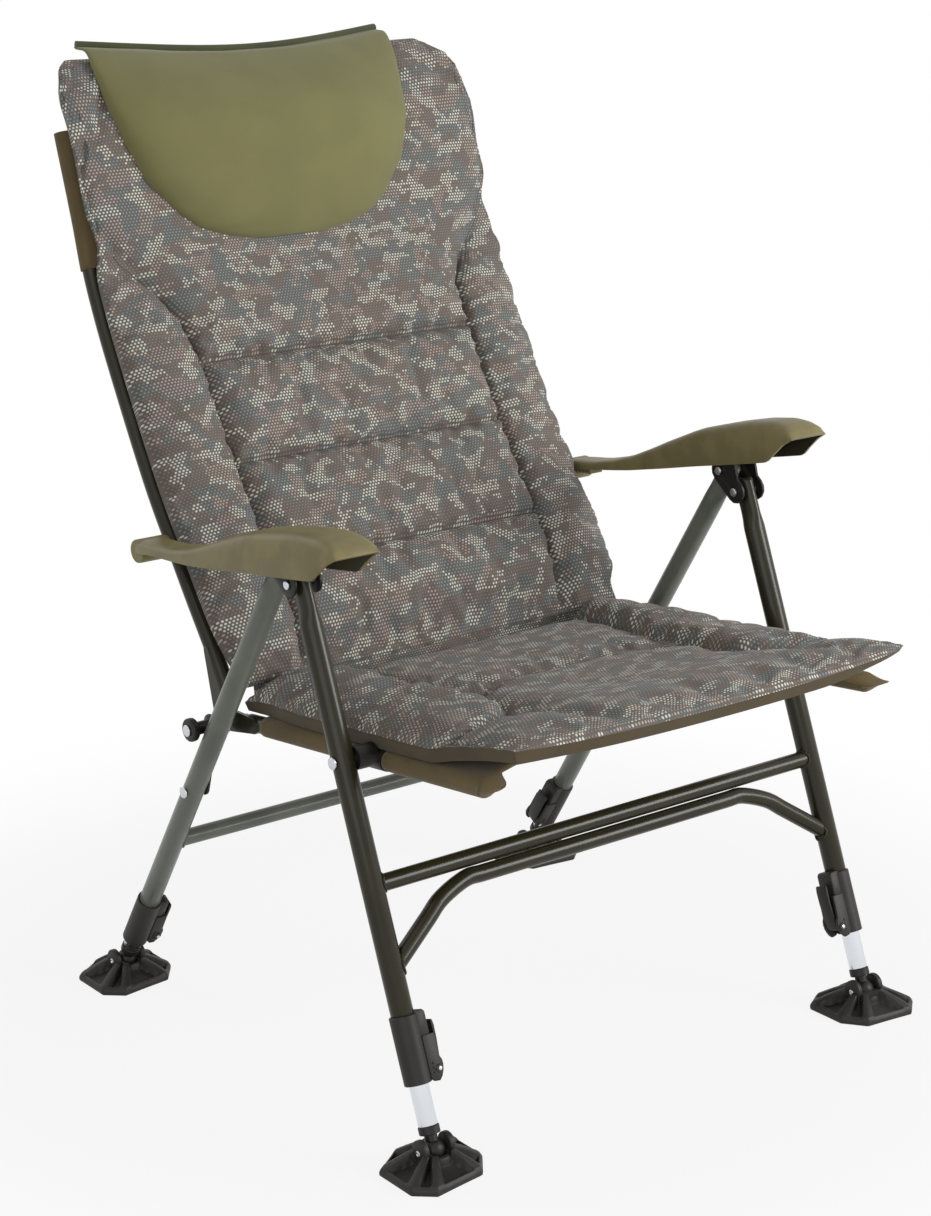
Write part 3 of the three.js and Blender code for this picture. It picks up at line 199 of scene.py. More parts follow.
def swept(name, points, radius, finish, place=Matrix.Identity(4), faces=28, steps=90, ends=1.0):
    """A round bar along a path, with its ends drawn in a little."""
    path, _ = smooth_path(points, steps)
    ahead = np.concatenate([[path[1] - path[0]], path[2:] - path[:-2], [path[-1] - path[-2]]])
    ahead /= np.linalg.norm(ahead, axis=1)[:, None]
    up = np.array([0.0, 0.0, 1.0]) if abs(ahead[0][2]) < 0.9 else np.array([1.0, 0.0, 0.0])
    rows = []
    for i, spot in enumerate(path):
        across = np.cross(ahead[i], up)
        across /= np.linalg.norm(across)
        up = np.cross(across, ahead[i])
        reach = radius * (ends if i in (0, len(path) - 1) else 1.0)
        for k in range(faces):
            a = 2 * math.pi * k / faces
            rows.append(spot + reach * (math.cos(a) * across + math.sin(a) * up))
    return solid(name, rows, [f[::-1] for f in ring_faces(len(path), faces)], finish, place)


def plate(name, first, second, finish, place=Matrix.Identity(4)):
    """A flat piece between two like outlines."""
    n = len(first)
    faces = [tuple(range(n - 1, -1, -1)), tuple(range(n, 2 * n))]
    faces += [(k, (k + 1) % n, (k + 1) % n + n, k + n) for k in range(n)]
    return solid(name, [*first, *second], faces, finish, place, 40)


def outward(piece):
    """Merges doubles and turns the faces outwards."""
    work = bmesh.new()
    work.from_mesh(piece.data)
    bmesh.ops.remove_doubles(work, verts=work.verts, dist=2e-6)
    bmesh.ops.recalc_face_normals(work, faces=work.faces)
    work.to_mesh(piece.data)
    work.free()
    piece.data.update()
    return piece


def smoothstep(value, low, high):
    t = np.clip((value - low) / (high - low), 0, 1)
    return t * t * (3 - 2 * t)


def settle(piece):
    """Puts the piece's modifiers into its mesh."""
    bpy.context.view_layer.update()
    finished = bpy.data.meshes.new_from_object(piece.evaluated_get(bpy.context.evaluated_depsgraph_get()))
    old = piece.data
    piece.modifiers.clear()
    piece.data = finished
    bpy.data.meshes.remove(old)
    return piece


def rounded(piece, edge, limit, segments=2):
    """Rounds the edges that turn by more than an angle."""
    bevel = piece.modifiers.new("edges", "BEVEL")
    bevel.width = edge * MM
    bevel.segments = segments
    bevel.limit_method = "ANGLE"
    bevel.angle_limit = math.radians(limit)
    return settle(piece)


def walled(piece, thickness, offset, inside=0):
    """Gives a surface its thickness. inside is the step to the finish of the inner face."""
    wall = piece.modifiers.new("wall", "SOLIDIFY")
    wall.thickness = thickness * MM
    wall.offset = offset
    wall.material_offset = inside
    return settle(piece)


def joined(name, *pieces):
    """Several loose pieces as one mesh."""
    work = bmesh.new()
    for piece in pieces:
        work.from_mesh(piece.data)
    mesh = bpy.data.meshes.new(name)
    work.to_mesh(mesh)
    work.free()
    for material in pieces[0].data.materials:
        mesh.materials.append(material)
    for piece in pieces:
        bpy.data.objects.remove(piece)
    return added(name, mesh)


SOFT_LIMIT = 38.0


def softened(node, finish, edge):
    """A copy of a node, merged and with its edges rounded, that stands for the node."""
    piece = added(node + "_finished", frame["nodes"][node].data.copy())
    piece.data.materials.clear()
    piece.data.materials.append(finish)
    work = bmesh.new()
    work.from_mesh(piece.data)
    bmesh.ops.remove_doubles(work, verts=work.verts, dist=5e-6)
    bmesh.ops.dissolve_limit(work, angle_limit=math.radians(1.0), verts=work.verts, edges=work.edges)
    work.to_mesh(piece.data)
    work.free()
    rounded(smoothed(piece, SOFT_LIMIT), edge, SOFT_LIMIT)
    return stands_for(smoothed(piece, SOFT_LIMIT), node)


def body_of_node(node):
    bodies = frame["record"]["behaviour"]["bodies"]
    return next(body for body, members in bodies.items() if node in members)


def slot_of_node(node):
    return next(part["material_slot"] for part in frame["record"]["subparts"] if part["node"] == node)


def stands_for(piece, *nodes):
    """The piece moves with the first node's body and replaces the nodes."""
    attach(piece, body_of_node(nodes[0]))
    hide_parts(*nodes)
    slot_of_node(nodes[0])
    return piece


def trimming(piece, body):
    """A small piece that moves with a body and stands for no node."""
    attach(piece, body)


# Shader arithmetic
def maths(operation):
    """An operator of Tone, from the name of a shader's maths operation."""
    settings = {"operation": operation}
    return lambda first, *others: first.finish.node("ShaderNodeMath", settings, first, *others)


class Tone:
    """A number or colour in a material, so that sums on it read as sums."""

    __add__ = maths("ADD")
    __sub__ = maths("SUBTRACT")
    __mul__ = maths("MULTIPLY")
    __truediv__ = maths("DIVIDE")
    __lt__ = maths("LESS_THAN")
    __gt__ = maths("GREATER_THAN")
    floor = maths("FLOOR")
    root = maths("SQRT")
    least = maths("MINIMUM")
    most = maths("MAXIMUM")

    def __init__(self, finish, socket):
        self.finish = finish
        self.socket = socket

    def __rsub__(self, other):
        return self.finish.node("ShaderNodeMath", {"operation": "SUBTRACT"}, other, self)

    def step(self, low, high):
        """0 below low, 1 above high, smooth between."""
        smooth = {"interpolation_type": "SMOOTHSTEP"}
        return self.finish.node("ShaderNodeMapRange", smooth, self, low, high, 0.0, 1.0)


class Finish:
    """One material with a Principled surface."""

    def __init__(self, name, **sockets):
        self.material = bpy.data.materials.new(name)
        self.material.use_nodes = True
        self.tree = self.material.node_tree
        self.surface = self.tree.nodes["Principled BSDF"]
        for socket, value in sockets.items():
            self.put(socket.replace("_", " "), value)

    def put(self, socket, value):
        if isinstance(value, Tone):
            self.tree.links.new(value.socket, self.surface.inputs[socket])
        else:
            self.surface.inputs[socket].default_value = value

    def node(self, kind, settings=None, *values, output=0, **named):
        made = self.tree.nodes.new(kind)
        for key, value in (settings or {}).items():
            setattr(made, key, value)
        for key, value in list(enumerate(values)) + list(named.items()):
            slot = made.inputs[key]
            if isinstance(value, Tone):
                self.tree.links.new(value.socket, slot)
            elif value is not None:
                slot.default_value = value
        return Tone(self, made.outputs[output])

    def place(self):
        """The piece's own coordinates."""
        return self.node("ShaderNodeTexCoord", output="Object")

    def noise(self, scale, detail=2.0, at=None, offset=0.0):
        where = at or self.place()
        if offset:
            shift = (offset, offset * 2, offset * 3)
            where = self.node("ShaderNodeVectorMath", {"operation": "ADD"}, where, shift)
        return self.node("ShaderNodeTexNoise", {"normalize": True}, where, Scale=scale, Detail=detail)

    def mix(self, factor, first, second):
        made = self.tree.nodes.new("ShaderNodeMix")
        made.data_type = "RGBA"
        for slot, value in ((0, factor), (6, first), (7, second)):
            if isinstance(value, Tone):
                self.tree.links.new(value.socket, made.inputs[slot])
            else:
                made.inputs[slot].default_value = value
        return Tone(self, made.outputs[2])

    def bump(self, height, strength, distance):
        self.put("Normal", self.node("ShaderNodeBump", Strength=strength, Distance=distance, Height=height,
                                     output="Normal"))


def colour(code, lift=1.0):
    """A colour written as six hex digits, as the linear values a shader takes."""
    out = []
    for k in (0, 2, 4):
        c = int(code[k:k + 2], 16) / 255 * lift
        out.append(c / 12.92 if c <= 0.04045 else ((c + 0.055) / 1.055) ** 2.4)
    return (*out, 1.0)


# Finishes
def painted_tube(name, code, roughness, coat):
    paint = Finish(name, Roughness=roughness, Coat_Weight=coat, Coat_Roughness=0.05, Specular_IOR_Level=0.2)
    mottle = paint.noise(18.0, 3.0).step(0.3, 0.7)
    paint.put("Base Color", paint.mix(mottle, colour(code, 0.93), colour(code, 1.05)))
    paint.bump(paint.noise(900.0, 2.0), 0.05, 0.0004)
    return paint.material


def moulded(name, code, roughness):
    plastic = Finish(name, Roughness=roughness, Specular_IOR_Level=0.28)
    tone = plastic.noise(30.0, 3.0).step(0.35, 0.65)
    plastic.put("Base Color", plastic.mix(tone, colour(code, 0.94), colour(code, 1.04)))
    plastic.bump(plastic.noise(1600.0, 2.0), 0.12, 0.0003)
    return plastic.material


def bare_metal(name, code, roughness):
    metal = Finish(name, Metallic=1.0)
    metal.put("Base Color", colour(code))
    streak = metal.noise(60.0, 4.0)
    metal.put("Roughness", streak * 0.12 + roughness)
    return metal.material


def plain_cloth(name, code, weave=0.35, spread=0.1):
    cloth = Finish(name, Roughness=0.9, Sheen_Weight=0.15, Sheen_Roughness=0.5)
    shade = cloth.noise(14.0, 4.0).step(0.25, 0.75)
    fleck = cloth.noise(900.0, 1.0)
    tone = cloth.mix(shade, colour(code, 1 - spread), colour(code, 1 + spread))
    cloth.put("Base Color", cloth.mix(fleck * 0.2, tone, colour(code, 0.75)))
    cloth.bump(cloth.noise(1300.0, 1.0), weave, 0.0005)
    return cloth.material


DOT_PITCH = 4.1


def dotted_camouflage(name):
    """Dots on a honeycomb, each with one tint and size, in ragged patches on a grey-brown ground."""
    cloth = Finish(name, Roughness=0.85, Sheen_Weight=0.08, Sheen_Roughness=0.5)
    pitch = DOT_PITCH * MM
    tall = math.sqrt(3.0)
    flat = cloth.node("ShaderNodeUVMap", {"uv_map": "cloth"})
    split = cloth.node("ShaderNodeSeparateXYZ", None, flat, output="X")
    across = split / pitch
    along = Tone(cloth, split.socket.node.outputs["Y"]) / pitch
    first = ((across + 0.5).floor(), (along / tall + 0.5).floor() * tall)
    second = (across.floor() + 0.5, ((along / tall).floor() + 0.5) * tall)
    spans = []
    for x, y in (first, second):
        dx, dy = across - x, along - y
        spans.append(dx * dx + dy * dy)
    nearer = spans[0] < spans[1]
    cell_x = second[0] + nearer * (first[0] - second[0])
    cell_y = second[1] + nearer * (first[1] - second[1])
    away = spans[0].least(spans[1]).root()
    cell = cloth.node("ShaderNodeCombineXYZ", None, cell_x * 0.75, cell_y, 0.0)

    def patches(scale, offset, over):
        return cloth.noise(scale, 3.0, at=cell, offset=offset) > over

    slate = patches(0.16, 41.0, 0.5)
    pink = patches(0.21, 71.0, 0.54)
    pale = patches(0.22, 29.0, 0.555)
    ground = cloth.mix(slate * 0.5, colour("696059"), colour("62615e"))
    tint = cloth.mix(slate, colour("9a8d86"), colour("88a0a4"))
    tint = cloth.mix(pink, tint, colour("bfada3"))
    tint = cloth.mix(pale, tint, colour("dcded0"))
    size = (slate * 0.04 + 0.17).most(pink * 0.26).most(pale * 0.29)
    dot = 1.0 - (away - size).step(-0.07, 0.07)
    cloth.put("Base Color", cloth.mix(dot, ground, tint))
    cloth.bump(cloth.noise(700.0, 1.0), 0.2, 0.0006)
    return cloth.material


GLOSS = painted_tube("gloss_olive_paint", "2d2a1b", 0.3, 0.12)
SATIN = painted_tube("satin_grey_green_paint", "70736a", 0.38, 0.15)
ARM = moulded("olive_moulding", "847a54", 0.45)
# The armrest's inner face: a darker copy of the olive moulding, as painted shade for the hollow under the
# shell
SHADED = moulded("armrest_inside_painted_shade", "37331f", 0.6)
CHARCOAL = moulded("charcoal_moulding", "2b2826", 0.5)
BLACK = moulded("black_moulding", "201e1c", 0.45)
ALUMINIUM = bare_metal("bright_aluminium", "dfe2e6", 0.18)
ZINC = bare_metal("zinc_plate", "c9ccd0", 0.25)
CAMO = dotted_camouflage("camouflage_cloth")
KHAKI = plain_cloth("khaki_cloth", "655636")
BOXING = plain_cloth("boxing_cloth", "473c26")
OLIVE = plain_cloth("olive_knit", "7e7b4e", 0.15, 0.035)
PIPING = plain_cloth("piping_cloth", "484c30")
THREAD = plain_cloth("thread", "4a3f30")


# Tubes
# A leg's tip: how far below its top, and the shares of its width and depth there
LEG_TIP = ((6, 1, 1), (3, 0.97, 0.97), (1.2, 0.9, 0.85), (0, 0.6, 0.5))
# Where a leg starts to flatten, below its top, and the length in which it does
LEG_FLATTENS = 62
LEG_FLATTENING = 20.7


def leg(name, node, place, bottom, reach, past, finish):
    """An outer leg tube, which flattens towards its top."""
    wide, deep = LEG_RADIUS * 0.7, LEG_RADIUS * 1.06
    top = reach + past
    start = top - LEG_FLATTENS
    profile = [(bottom, 11.0), (bottom, 12.2), (bottom + 0.6, LEG_RADIUS), (start, LEG_RADIUS)]
    for t in np.linspace(0.125, 1, 8):
        s = smoothstep(t, 0, 1)
        across, along = (LEG_RADIUS + (end - LEG_RADIUS) * s for end in (wide, deep))
        profile.append((start + LEG_FLATTENING * t, across, along))
    profile += [(top - below, wide * a, deep * b) for below, a, b in LEG_TIP]
    stands_for(turned(name, profile, finish, place, 48), node)


for side, sign in SIDES.items():
    leg(f"front_tube_{side}", f"front_leg_{side}", front_leg_place(sign * LEG_X), 103, FRONT_REACH, 15, GLOSS)
    leg(f"rear_tube_{side}", f"rear_leg_{side}", rear_leg_place(sign * LEG_X), 74, REAR_REACH, 9.5, SATIN)


def cross_bar(name, node, points, finish, place, faces, steps):
    """A bar between the legs of a pair, with both ends cut to the round of the legs."""
    bar = swept(name, points, BAR_RADIUS, finish, place, faces, steps)
    back = place.inverted()
    for vertex in bar.data.vertices:
        spot = back @ (vertex.co / MM)
        limit = LEG_X - math.sqrt(BAR_STOP ** 2 - spot.y ** 2)
        if abs(spot.x) > limit:
            spot.x = math.copysign(limit, spot.x)
            vertex.co = (place @ spot) * MM
    stands_for(outward(bar), node)


BAR_END = LEG_X - 6
for name, node, height, place, finish in (
    ("front_bar_upper", "front_cross_tube_upper", UPPER_BAR, front_leg_place(0), GLOSS),
    ("rear_bar", "rear_cross_tube", REAR_BAR, rear_leg_place(0), SATIN),
):
    cross_bar(name, node, [(x, 0, height) for x in (-BAR_END, 0, BAR_END)], finish, place, 36, 12)


def arched_cross():
    """The lower front bar: level in the middle, and straight down to its welds past two shoulders."""
    flat, half, shoulder = UPPER_BAR - 2 * BAR_RADIUS - 0.9, 220, 40

    def slope(x):
        return (x, 0, flat - (flat - LOWER_BAR) * (abs(x) - half) / (LEG_X - half))

    ways = [slope(x) for x in (-BAR_END, -half - shoulder, -half - shoulder / 2)]
    ways += [(x, 0, flat) for x in (-half + shoulder / 2, -half + shoulder, 0)]
    points = ways + [(-x, y, z) for x, y, z in reversed(ways[:-1])]
    cross_bar("front_bar_lower", "front_cross_tube_lower", points, GLOSS, front_leg_place(0), 32, 140)


arched_cross()


# Weld beads and stitches are small beads set along a path
def beads_tree(name):
    """Nodes that set stretched balls along a path, turned with it."""
    tree = bpy.data.node_groups.new(name, "GeometryNodeTree")
    face = tree.interface
    face.new_socket("Path", in_out="INPUT", socket_type="NodeSocketGeometry")
    for label, value in (("Spacing", 0.002), ("Length", 0.003), ("Width", 0.0015), ("Height", 0.0015)):
        face.new_socket(label, in_out="INPUT", socket_type="NodeSocketFloat").default_value = value
    face.new_socket("Finish", in_out="INPUT", socket_type="NodeSocketMaterial")
    face.new_socket("Beads", in_out="OUTPUT", socket_type="NodeSocketGeometry")
    into, out = tree.nodes.new("NodeGroupInput"), tree.nodes.new("NodeGroupOutput")

    def made(kind, mode=None, **sources):
        """A node, with each input from the node and output given for it."""
        node = tree.nodes.new(kind)
        if mode:
            node.mode = mode
        for socket, (source, output) in sources.items():
            tree.links.new(source.outputs[output], node.inputs[socket])
        return node

    curve = made("GeometryNodeMeshToCurve", Mesh=(into, "Path"))
    even = made("GeometryNodeResampleCurve", "LENGTH", Curve=(curve, "Curve"), Length=(into, "Spacing"))
    points = made("GeometryNodeCurveToPoints", "EVALUATED", Curve=(even, "Curve"))
    ball = made("GeometryNodeMeshIcoSphere")
    ball.inputs["Radius"].default_value = 0.5
    ball.inputs["Subdivisions"].default_value = 2
    size = made("ShaderNodeCombineXYZ", X=(into, "Width"), Y=(into, "Height"), Z=(into, "Length"))
    spread = made("GeometryNodeInstanceOnPoints", Points=(points, "Points"), Rotation=(points, "Rotation"),
                  Instance=(ball, "Mesh"), Scale=(size, 0))
    real = made("GeometryNodeRealizeInstances", Geometry=(spread, "Instances"))
    smooth = made("GeometryNodeSetShadeSmooth", Geometry=(real, "Geometry"))
    finish = made("GeometryNodeSetMaterial", Geometry=(smooth, "Geometry"), Material=(into, "Finish"))
    tree.links.new(finish.outputs["Geometry"], out.inputs["Beads"])
    return tree


BEADS = beads_tree("beads_along_a_path")


def beads(name, paths, sizes, finish, body, place=Matrix.Identity(4)):
    """Beads along each path, as one mesh. Sizes are their spacing, length, width and height."""
    points, edges = [], []
    for path in paths:
        base = len(points)
        points += [tuple(p) for p in path]
        edges += [(base + k, base + k + 1) for k in range(len(path) - 1)]
    mesh = bpy.data.meshes.new(name)
    mesh.from_pydata(points, edges, [])
    mesh.transform(Matrix.Scale(MM, 4) @ place)
    piece = added(name, mesh)
    maker = piece.modifiers.new("beads", "NODES")
    maker.node_group = BEADS
    values = dict(zip(("Spacing", "Length", "Width", "Height"), (size * MM for size in sizes)), Finish=finish)
    for item in BEADS.interface.items_tree:
        if item.in_out == "INPUT" and item.name in values:
            maker[item.identifier] = values[item.name]
    trimming(settle(piece), body)


WELD = (1.6, 3.4, 3.2, 3.2)
WELD_SINK = 0.4
BACK_STITCH = (3.6, 2.6, 0.8, 0.6)
PILLOW_STITCH = (3.6, 2.4, 0.9, 0.7)


def weld_path(reach, way):
    """Round a cross bar where it meets a leg."""
    path = []
    for k in range(49):
        a = 2 * math.pi * k / 48
        depth = math.sqrt(LEG_RADIUS ** 2 - (BAR_RADIUS * math.sin(a)) ** 2)
        radius = BAR_RADIUS + WELD_SINK
        path.append((way * (LEG_X - depth - 0.6), radius * math.sin(a), reach + radius * math.cos(a)))
    return path


beads("front_welds", [weld_path(r, w) for r in (UPPER_BAR, LOWER_BAR + 3) for w in (-1, 1)], WELD, GLOSS,
      "front_frame", front_leg_place(0))
beads("rear_welds", [weld_path(REAR_BAR, w) for w in (-1, 1)], WELD, SATIN,
      "rear_frame", rear_leg_place(0))


# Seat and back tubes, each with its hinge lug
def strap(name, start, end, across, finish, place=Matrix.Identity(4)):
    """A lug with two round ends, each given by its place behind, its height and its radius."""
    heading = math.atan2(end[1] - start[1], end[0] - start[0])
    outline = []
    for (y, z, radius), turn in ((start, math.pi / 2), (end, -math.pi / 2)):
        for k in range(17):
            a = heading + turn + math.pi * k / 16
            outline.append((y + radius * math.cos(a), z + radius * math.sin(a)))
    sides = [[(x, y, z) for y, z in outline] for x in sorted(across)]
    return outward(rounded(plate(name, *sides, finish, place), 0.5, 50))


RIVET_HEAD = 0.74
# The lugs across, from the chair's middle
SEAT_LUG, BACK_LUG = (277, 282), (289, 294)
SEAT_TUBE = [(24, 7.5), (24.8, 9.0), (27, 9.8), (30, 10), (447, 10), (449.2, 9.6), (450, 8.6)]
SLIDING_TUBE = [(26, 9.0), (26, 10.2), (26.5, 10.5), (275.5, 10.5), (276, 10.2)]
FITTINGS = {"top_bracket": (BLACK, 0.5), "front_pivot_bolt": (ZINC, 0.4), "bracket_rivet": (ZINC, 0.4),
            "seat_clamp": (BLACK, 0.6), "seat_pivot_bolt": (ZINC, 0.4), "rear_link": (CHARCOAL, 0.4),
            "link_bolt": (ZINC, 0.4), "recline_knob": (BLACK, 0.6), "recline_bolt": (ZINC, 0.4),
            "armrest_pin": (ZINC, 0.3)}


def slimmer(piece, share):
    """Draws a rivet in about its axis, which runs across the chair."""
    spots = np.array([vertex.co for vertex in piece.data.vertices])
    middle = (spots.min(axis=0) + spots.max(axis=0)) / 2
    for vertex in piece.data.vertices:
        vertex.co.y = middle[1] + (vertex.co.y - middle[1]) * share
        vertex.co.z = middle[2] + (vertex.co.z - middle[2]) * share


for side, sign in SIDES.items():
    forward = Matrix.Translation((sign * SEAT_TUBE_X, 0, 0)) @ quarter_turn(1, "X")
    tube = turned("bar", SEAT_TUBE, GLOSS, seat_place() @ forward)
    lug = strap("lug", (0, 0, 13), (-46, 0, 9), [sign * x for x in SEAT_LUG], GLOSS, seat_place())
    stands_for(joined(f"seat_bar_{side}", tube, lug), f"seat_side_tube_{side}")
    path = [side_point(b, h, sign * BACK_TUBE_X) for b, h in BACK_PATH]
    tube = swept("bar", path, 10, GLOSS, faces=36, steps=110, ends=0.9)
    lug = strap("lug", (*side_point(*RECLINE_PIN)[1:], 13), (*side_point(*BACK_PATH[1])[1:], 5),
                [sign * x for x in BACK_LUG], GLOSS)
    stands_for(joined(f"back_bar_{side}", tube, lug), f"back_side_tube_{side}")
    for end, name, place in (("front", "", front_leg_place), ("rear", "rear_", rear_leg_place)):
        inner = turned(f"{name}sliding_tube_{side}", SLIDING_TUBE, ALUMINIUM, place(sign * LEG_X), 40)
        stands_for(inner, f"{end}_inner_tube_{side}")
    for node, (finish, edge) in FITTINGS.items():
        piece = softened(f"{node}_{side}", finish, edge)
        if node in ("front_pivot_bolt", "bracket_rivet"):
            slimmer(piece, RIVET_HEAD)

top_bar_end = BACK_TUBE_X - 10.3
top, before = side_point(*BACK_PATH[-1]), side_point(*BACK_PATH[-2])
centre = top - (top - before).normalized() * 22
top_bar = [(x, centre.y, centre.z) for x in (-top_bar_end, 0, top_bar_end)]
stands_for(swept("back_bar_top", top_bar, BAR_RADIUS, GLOSS, faces=32, steps=8), "back_top_bar")


# Leg clamps and their levers, measured from the ball along the leg
CLAMP_BOTTOM = {"front": 70, "rear": 41}
CLAMP_PIN = (21.4, 10.6)
CLAMP_SLEEVE = [(0, 10.9), (0, 14.2), (0.8, 15), (72.2, 15), (73, 14.2), (73, 12.8), (36, 12.8), (36, 10.9)]
CLAMP_CHEEK = [(9, 4), (13, -1), (19.5, -2), (23, 1.5), (26, 7), (27.6, 14), (27.2, 19), (25.2, 23),
               (24.6, 48), (9, 48)]
CLAMP_BLOCK = [(7, 46), (20.6, 46), (20.6, 72), (18, 75), (7, 75)]
CLAMP_BOSS = [(12.6, 4.6), (14.0, 4.6), (14.6, 4.0)]
# The cheeks and the ribs outside them, from the leg's axis to each side, and the heights of the ribs
CLAMP_CHEEK_SPAN, CLAMP_RIB_SPAN, CLAMP_RIBS = (9.2, 13.2), (12.8, 14.2), (6.5, 11.5, 16.5)
LEVER_PIN_TIP = [(14.3, 2.3), (15.2, 2.1), (15.6, 1.2)]
LEVER_BLADE = [(-3, -3.5), (3.5, -3.5), (5.6, 2), (7.2, 14), (8.4, 30), (8.8, 44), (8, 50), (6, 51.5),
               (4.8, 49), (5.2, 40), (4.2, 26), (2, 12), (-2, 6)]


def cut_block(name, outline, low, high, finish, place, inward, edge):
    """A piece cut to an outline in x and z, between two places in y, with rounded edges."""
    sides = [[(inward * x, y, z) for x, z in outline] for y in (low, high)]
    return rounded(outward(plate(name, *sides, finish, place)), edge, 40)


def clamp(end, side, inward, leg_axis):
    """A clamp's housing, its lever and the ends of the lever's pin."""
    place = leg_axis @ Matrix.Translation((0, 0, CLAMP_BOTTOM[end]))
    hub = place @ Matrix.Translation((inward * CLAMP_PIN[0], 0, CLAMP_PIN[1]))
    points = [(radius * math.cos(a), radius * math.sin(a), z) for z, radius in CLAMP_SLEEVE
              for a in np.linspace(0, 2 * math.pi, 48, endpoint=False)]
    parts = [outward(solid("sleeve", points, ring_faces(len(CLAMP_SLEEVE), 48, True), CHARCOAL, place, 40))]
    parts.append(cut_block("block", CLAMP_BLOCK, -11.5, 11.5, CHARCOAL, place, inward, 1.4))
    for way in (-1, 1):
        low, high = sorted(way * y for y in CLAMP_CHEEK_SPAN)
        parts.append(cut_block("cheek", CLAMP_CHEEK, low, high, CHARCOAL, place, inward, 0.8))
        low, high = sorted(way * y for y in CLAMP_RIB_SPAN)
        for height in CLAMP_RIBS:
            rib = [(14.2, height), (17.4, height), (17.4, height + 2.6), (14.2, height + 2.6)]
            parts.append(cut_block("rib", rib, low, high, CHARCOAL, place, inward, 0.4))
        parts.append(outward(turned("boss", CLAMP_BOSS, CHARCOAL, hub @ quarter_turn(way, "X"), 28)))
    stands_for(smoothed(joined(f"{end}_clamp_form_{side}", *parts), 40), f"{end}_clamp_{side}")
    blade = cut_block("blade", LEVER_BLADE, -8.6, 8.6, BLACK, hub, inward, 1.2)
    barrel = outward(turned("barrel", [(-8.7, 4.2), (8.7, 4.2)], BLACK, hub @ quarter_turn(1, "X"), 28))
    stands_for(smoothed(joined(f"{end}_lever_form_{side}", blade, barrel), 40), f"{end}_lever_{side}")
    pins = [outward(turned("pin", LEVER_PIN_TIP, ZINC, hub @ quarter_turn(way, "X"), 20)) for way in (-1, 1)]
    trimming(joined(f"{end}_lever_pin_ends_{side}", *pins), body_of_node(f"{end}_clamp_{side}"))


for side, sign in SIDES.items():
    clamp("front", side, -sign, front_leg_place(sign * LEG_X))
    clamp("rear", side, -sign, rear_leg_place(sign * LEG_X))


# Ball studs and mud feet
FOOT_OUTLINE = np.array([(-1, -0.62), (-0.6, -1), (0.62, -0.84), (1, -0.3), (1, 0.72), (0.56, 1), (-0.3, 1),
                         (-1, 0.5)]) * (53, 49)
FOOT_HUB = 20
FOOT_MARGIN = 1.2
FOOT_SKIRT = ((5.0, 1.2), (1.2, 0.8), (0.0, -0.6))
# Heights at the middle of the sole, and how much lower they are at its edge
FOOT_PANEL, FOOT_RIB = (15, 9.5), (27, 17.6)
FOOT_LIP = 3.4
FOOT_CHEEK_SPAN = (13.3, 20.2)
FOOT_RIVET = 25
FOOT_RIVET_RING = [(20.1, 1.5), (20.1, 3.6), (20.8, 3.6), (21.2, 3.1), (21.2, 1.9), (20.4, 1.5)]


def foot_reach(outline, angle):
    """How far the foot's outline lies from its middle in a direction."""
    heading = np.array([math.cos(angle), math.sin(angle)])
    best = math.inf
    for a, b in zip(outline, np.roll(outline, -1, axis=0)):
        edge = b - a
        cross = heading[0] * edge[1] - heading[1] * edge[0]
        if abs(cross) < 1e-9:
            continue
        far = (a[0] * edge[1] - a[1] * edge[0]) / cross
        share = (a[0] * heading[1] - a[1] * heading[0]) / cross
        if far > 0 and -1e-6 <= share <= 1 + 1e-6:
            best = min(best, far)
    return best


def foot_sole(place, sign):
    """The sole: flat-topped ribs run down to the corners, with sunk panels and a raised lip between them."""
    outline = FOOT_OUTLINE * (-sign, 1)
    ribs = [math.atan2(y, x) for x, y in outline]
    angles = np.linspace(-math.pi, math.pi, 176, endpoint=False)
    reaches = [foot_reach(outline, angle) - FOOT_MARGIN for angle in angles]
    shares = np.concatenate([np.linspace(0, 0.8, 14), np.linspace(0.83, 1, 10)])
    points = []
    for share in shares:
        lip = float(smoothstep(share, 0.84, 0.9))
        panel = FOOT_PANEL[0] - FOOT_PANEL[1] * share ** 0.7 + FOOT_LIP * lip
        rib = FOOT_RIB[0] - FOOT_RIB[1] * share ** 1.15
        soft = 1.6 * float(smoothstep(share, 0.94, 1.0))
        for angle, reach in zip(angles, reaches):
            out = FOOT_HUB + (reach - FOOT_HUB) * share
            to_rib = min(abs(math.remainder(angle - rib_angle, 2 * math.pi)) for rib_angle in ribs) * out
            on_rib = 1 - float(smoothstep(to_rib, 3.0 + 3.0 * share, 5.4 + 3.4 * share))
            height = panel + (rib - panel) * on_rib - soft
            points.append((out * math.cos(angle), out * math.sin(angle), max(height, 6.0)))
    for drop, grow in FOOT_SKIRT:
        for angle, reach in zip(angles, reaches):
            points.append(((reach + grow) * math.cos(angle), (reach + grow) * math.sin(angle), drop))
    rings = len(shares) + len(FOOT_SKIRT)
    return outward(solid("sole", points, ring_faces(rings, len(angles)), CHARCOAL, place, 32))


def foot_cup(place):
    """The socket round the ball, and the two cheeks beside it."""
    bowl = [(2, 19.4), (9, 20.6), (19, 20.2), (22, 18.6), (22.6, 16.0), (21.6, 13.4)]
    bowl += [(24 - 13 * math.cos(a), 13 * math.sin(a)) for a in np.linspace(1.35, 0.05, 12)]
    parts = [outward(turned("cup", bowl, CHARCOAL, place, 56, 40))]
    outline = [(-12.5, 12), (12.5, 12)]
    outline += [(12 * math.cos(a), 27.5 + 12 * math.sin(a)) for a in np.linspace(0, math.pi, 19)]
    for way in (-1, 1):
        sides = [[(x, y, z) for y, z in outline] for x in sorted(way * x for x in FOOT_CHEEK_SPAN)]
        parts.append(outward(rounded(plate("cheek", *sides, CHARCOAL, place), 1.6, 50, 3)))
    return parts


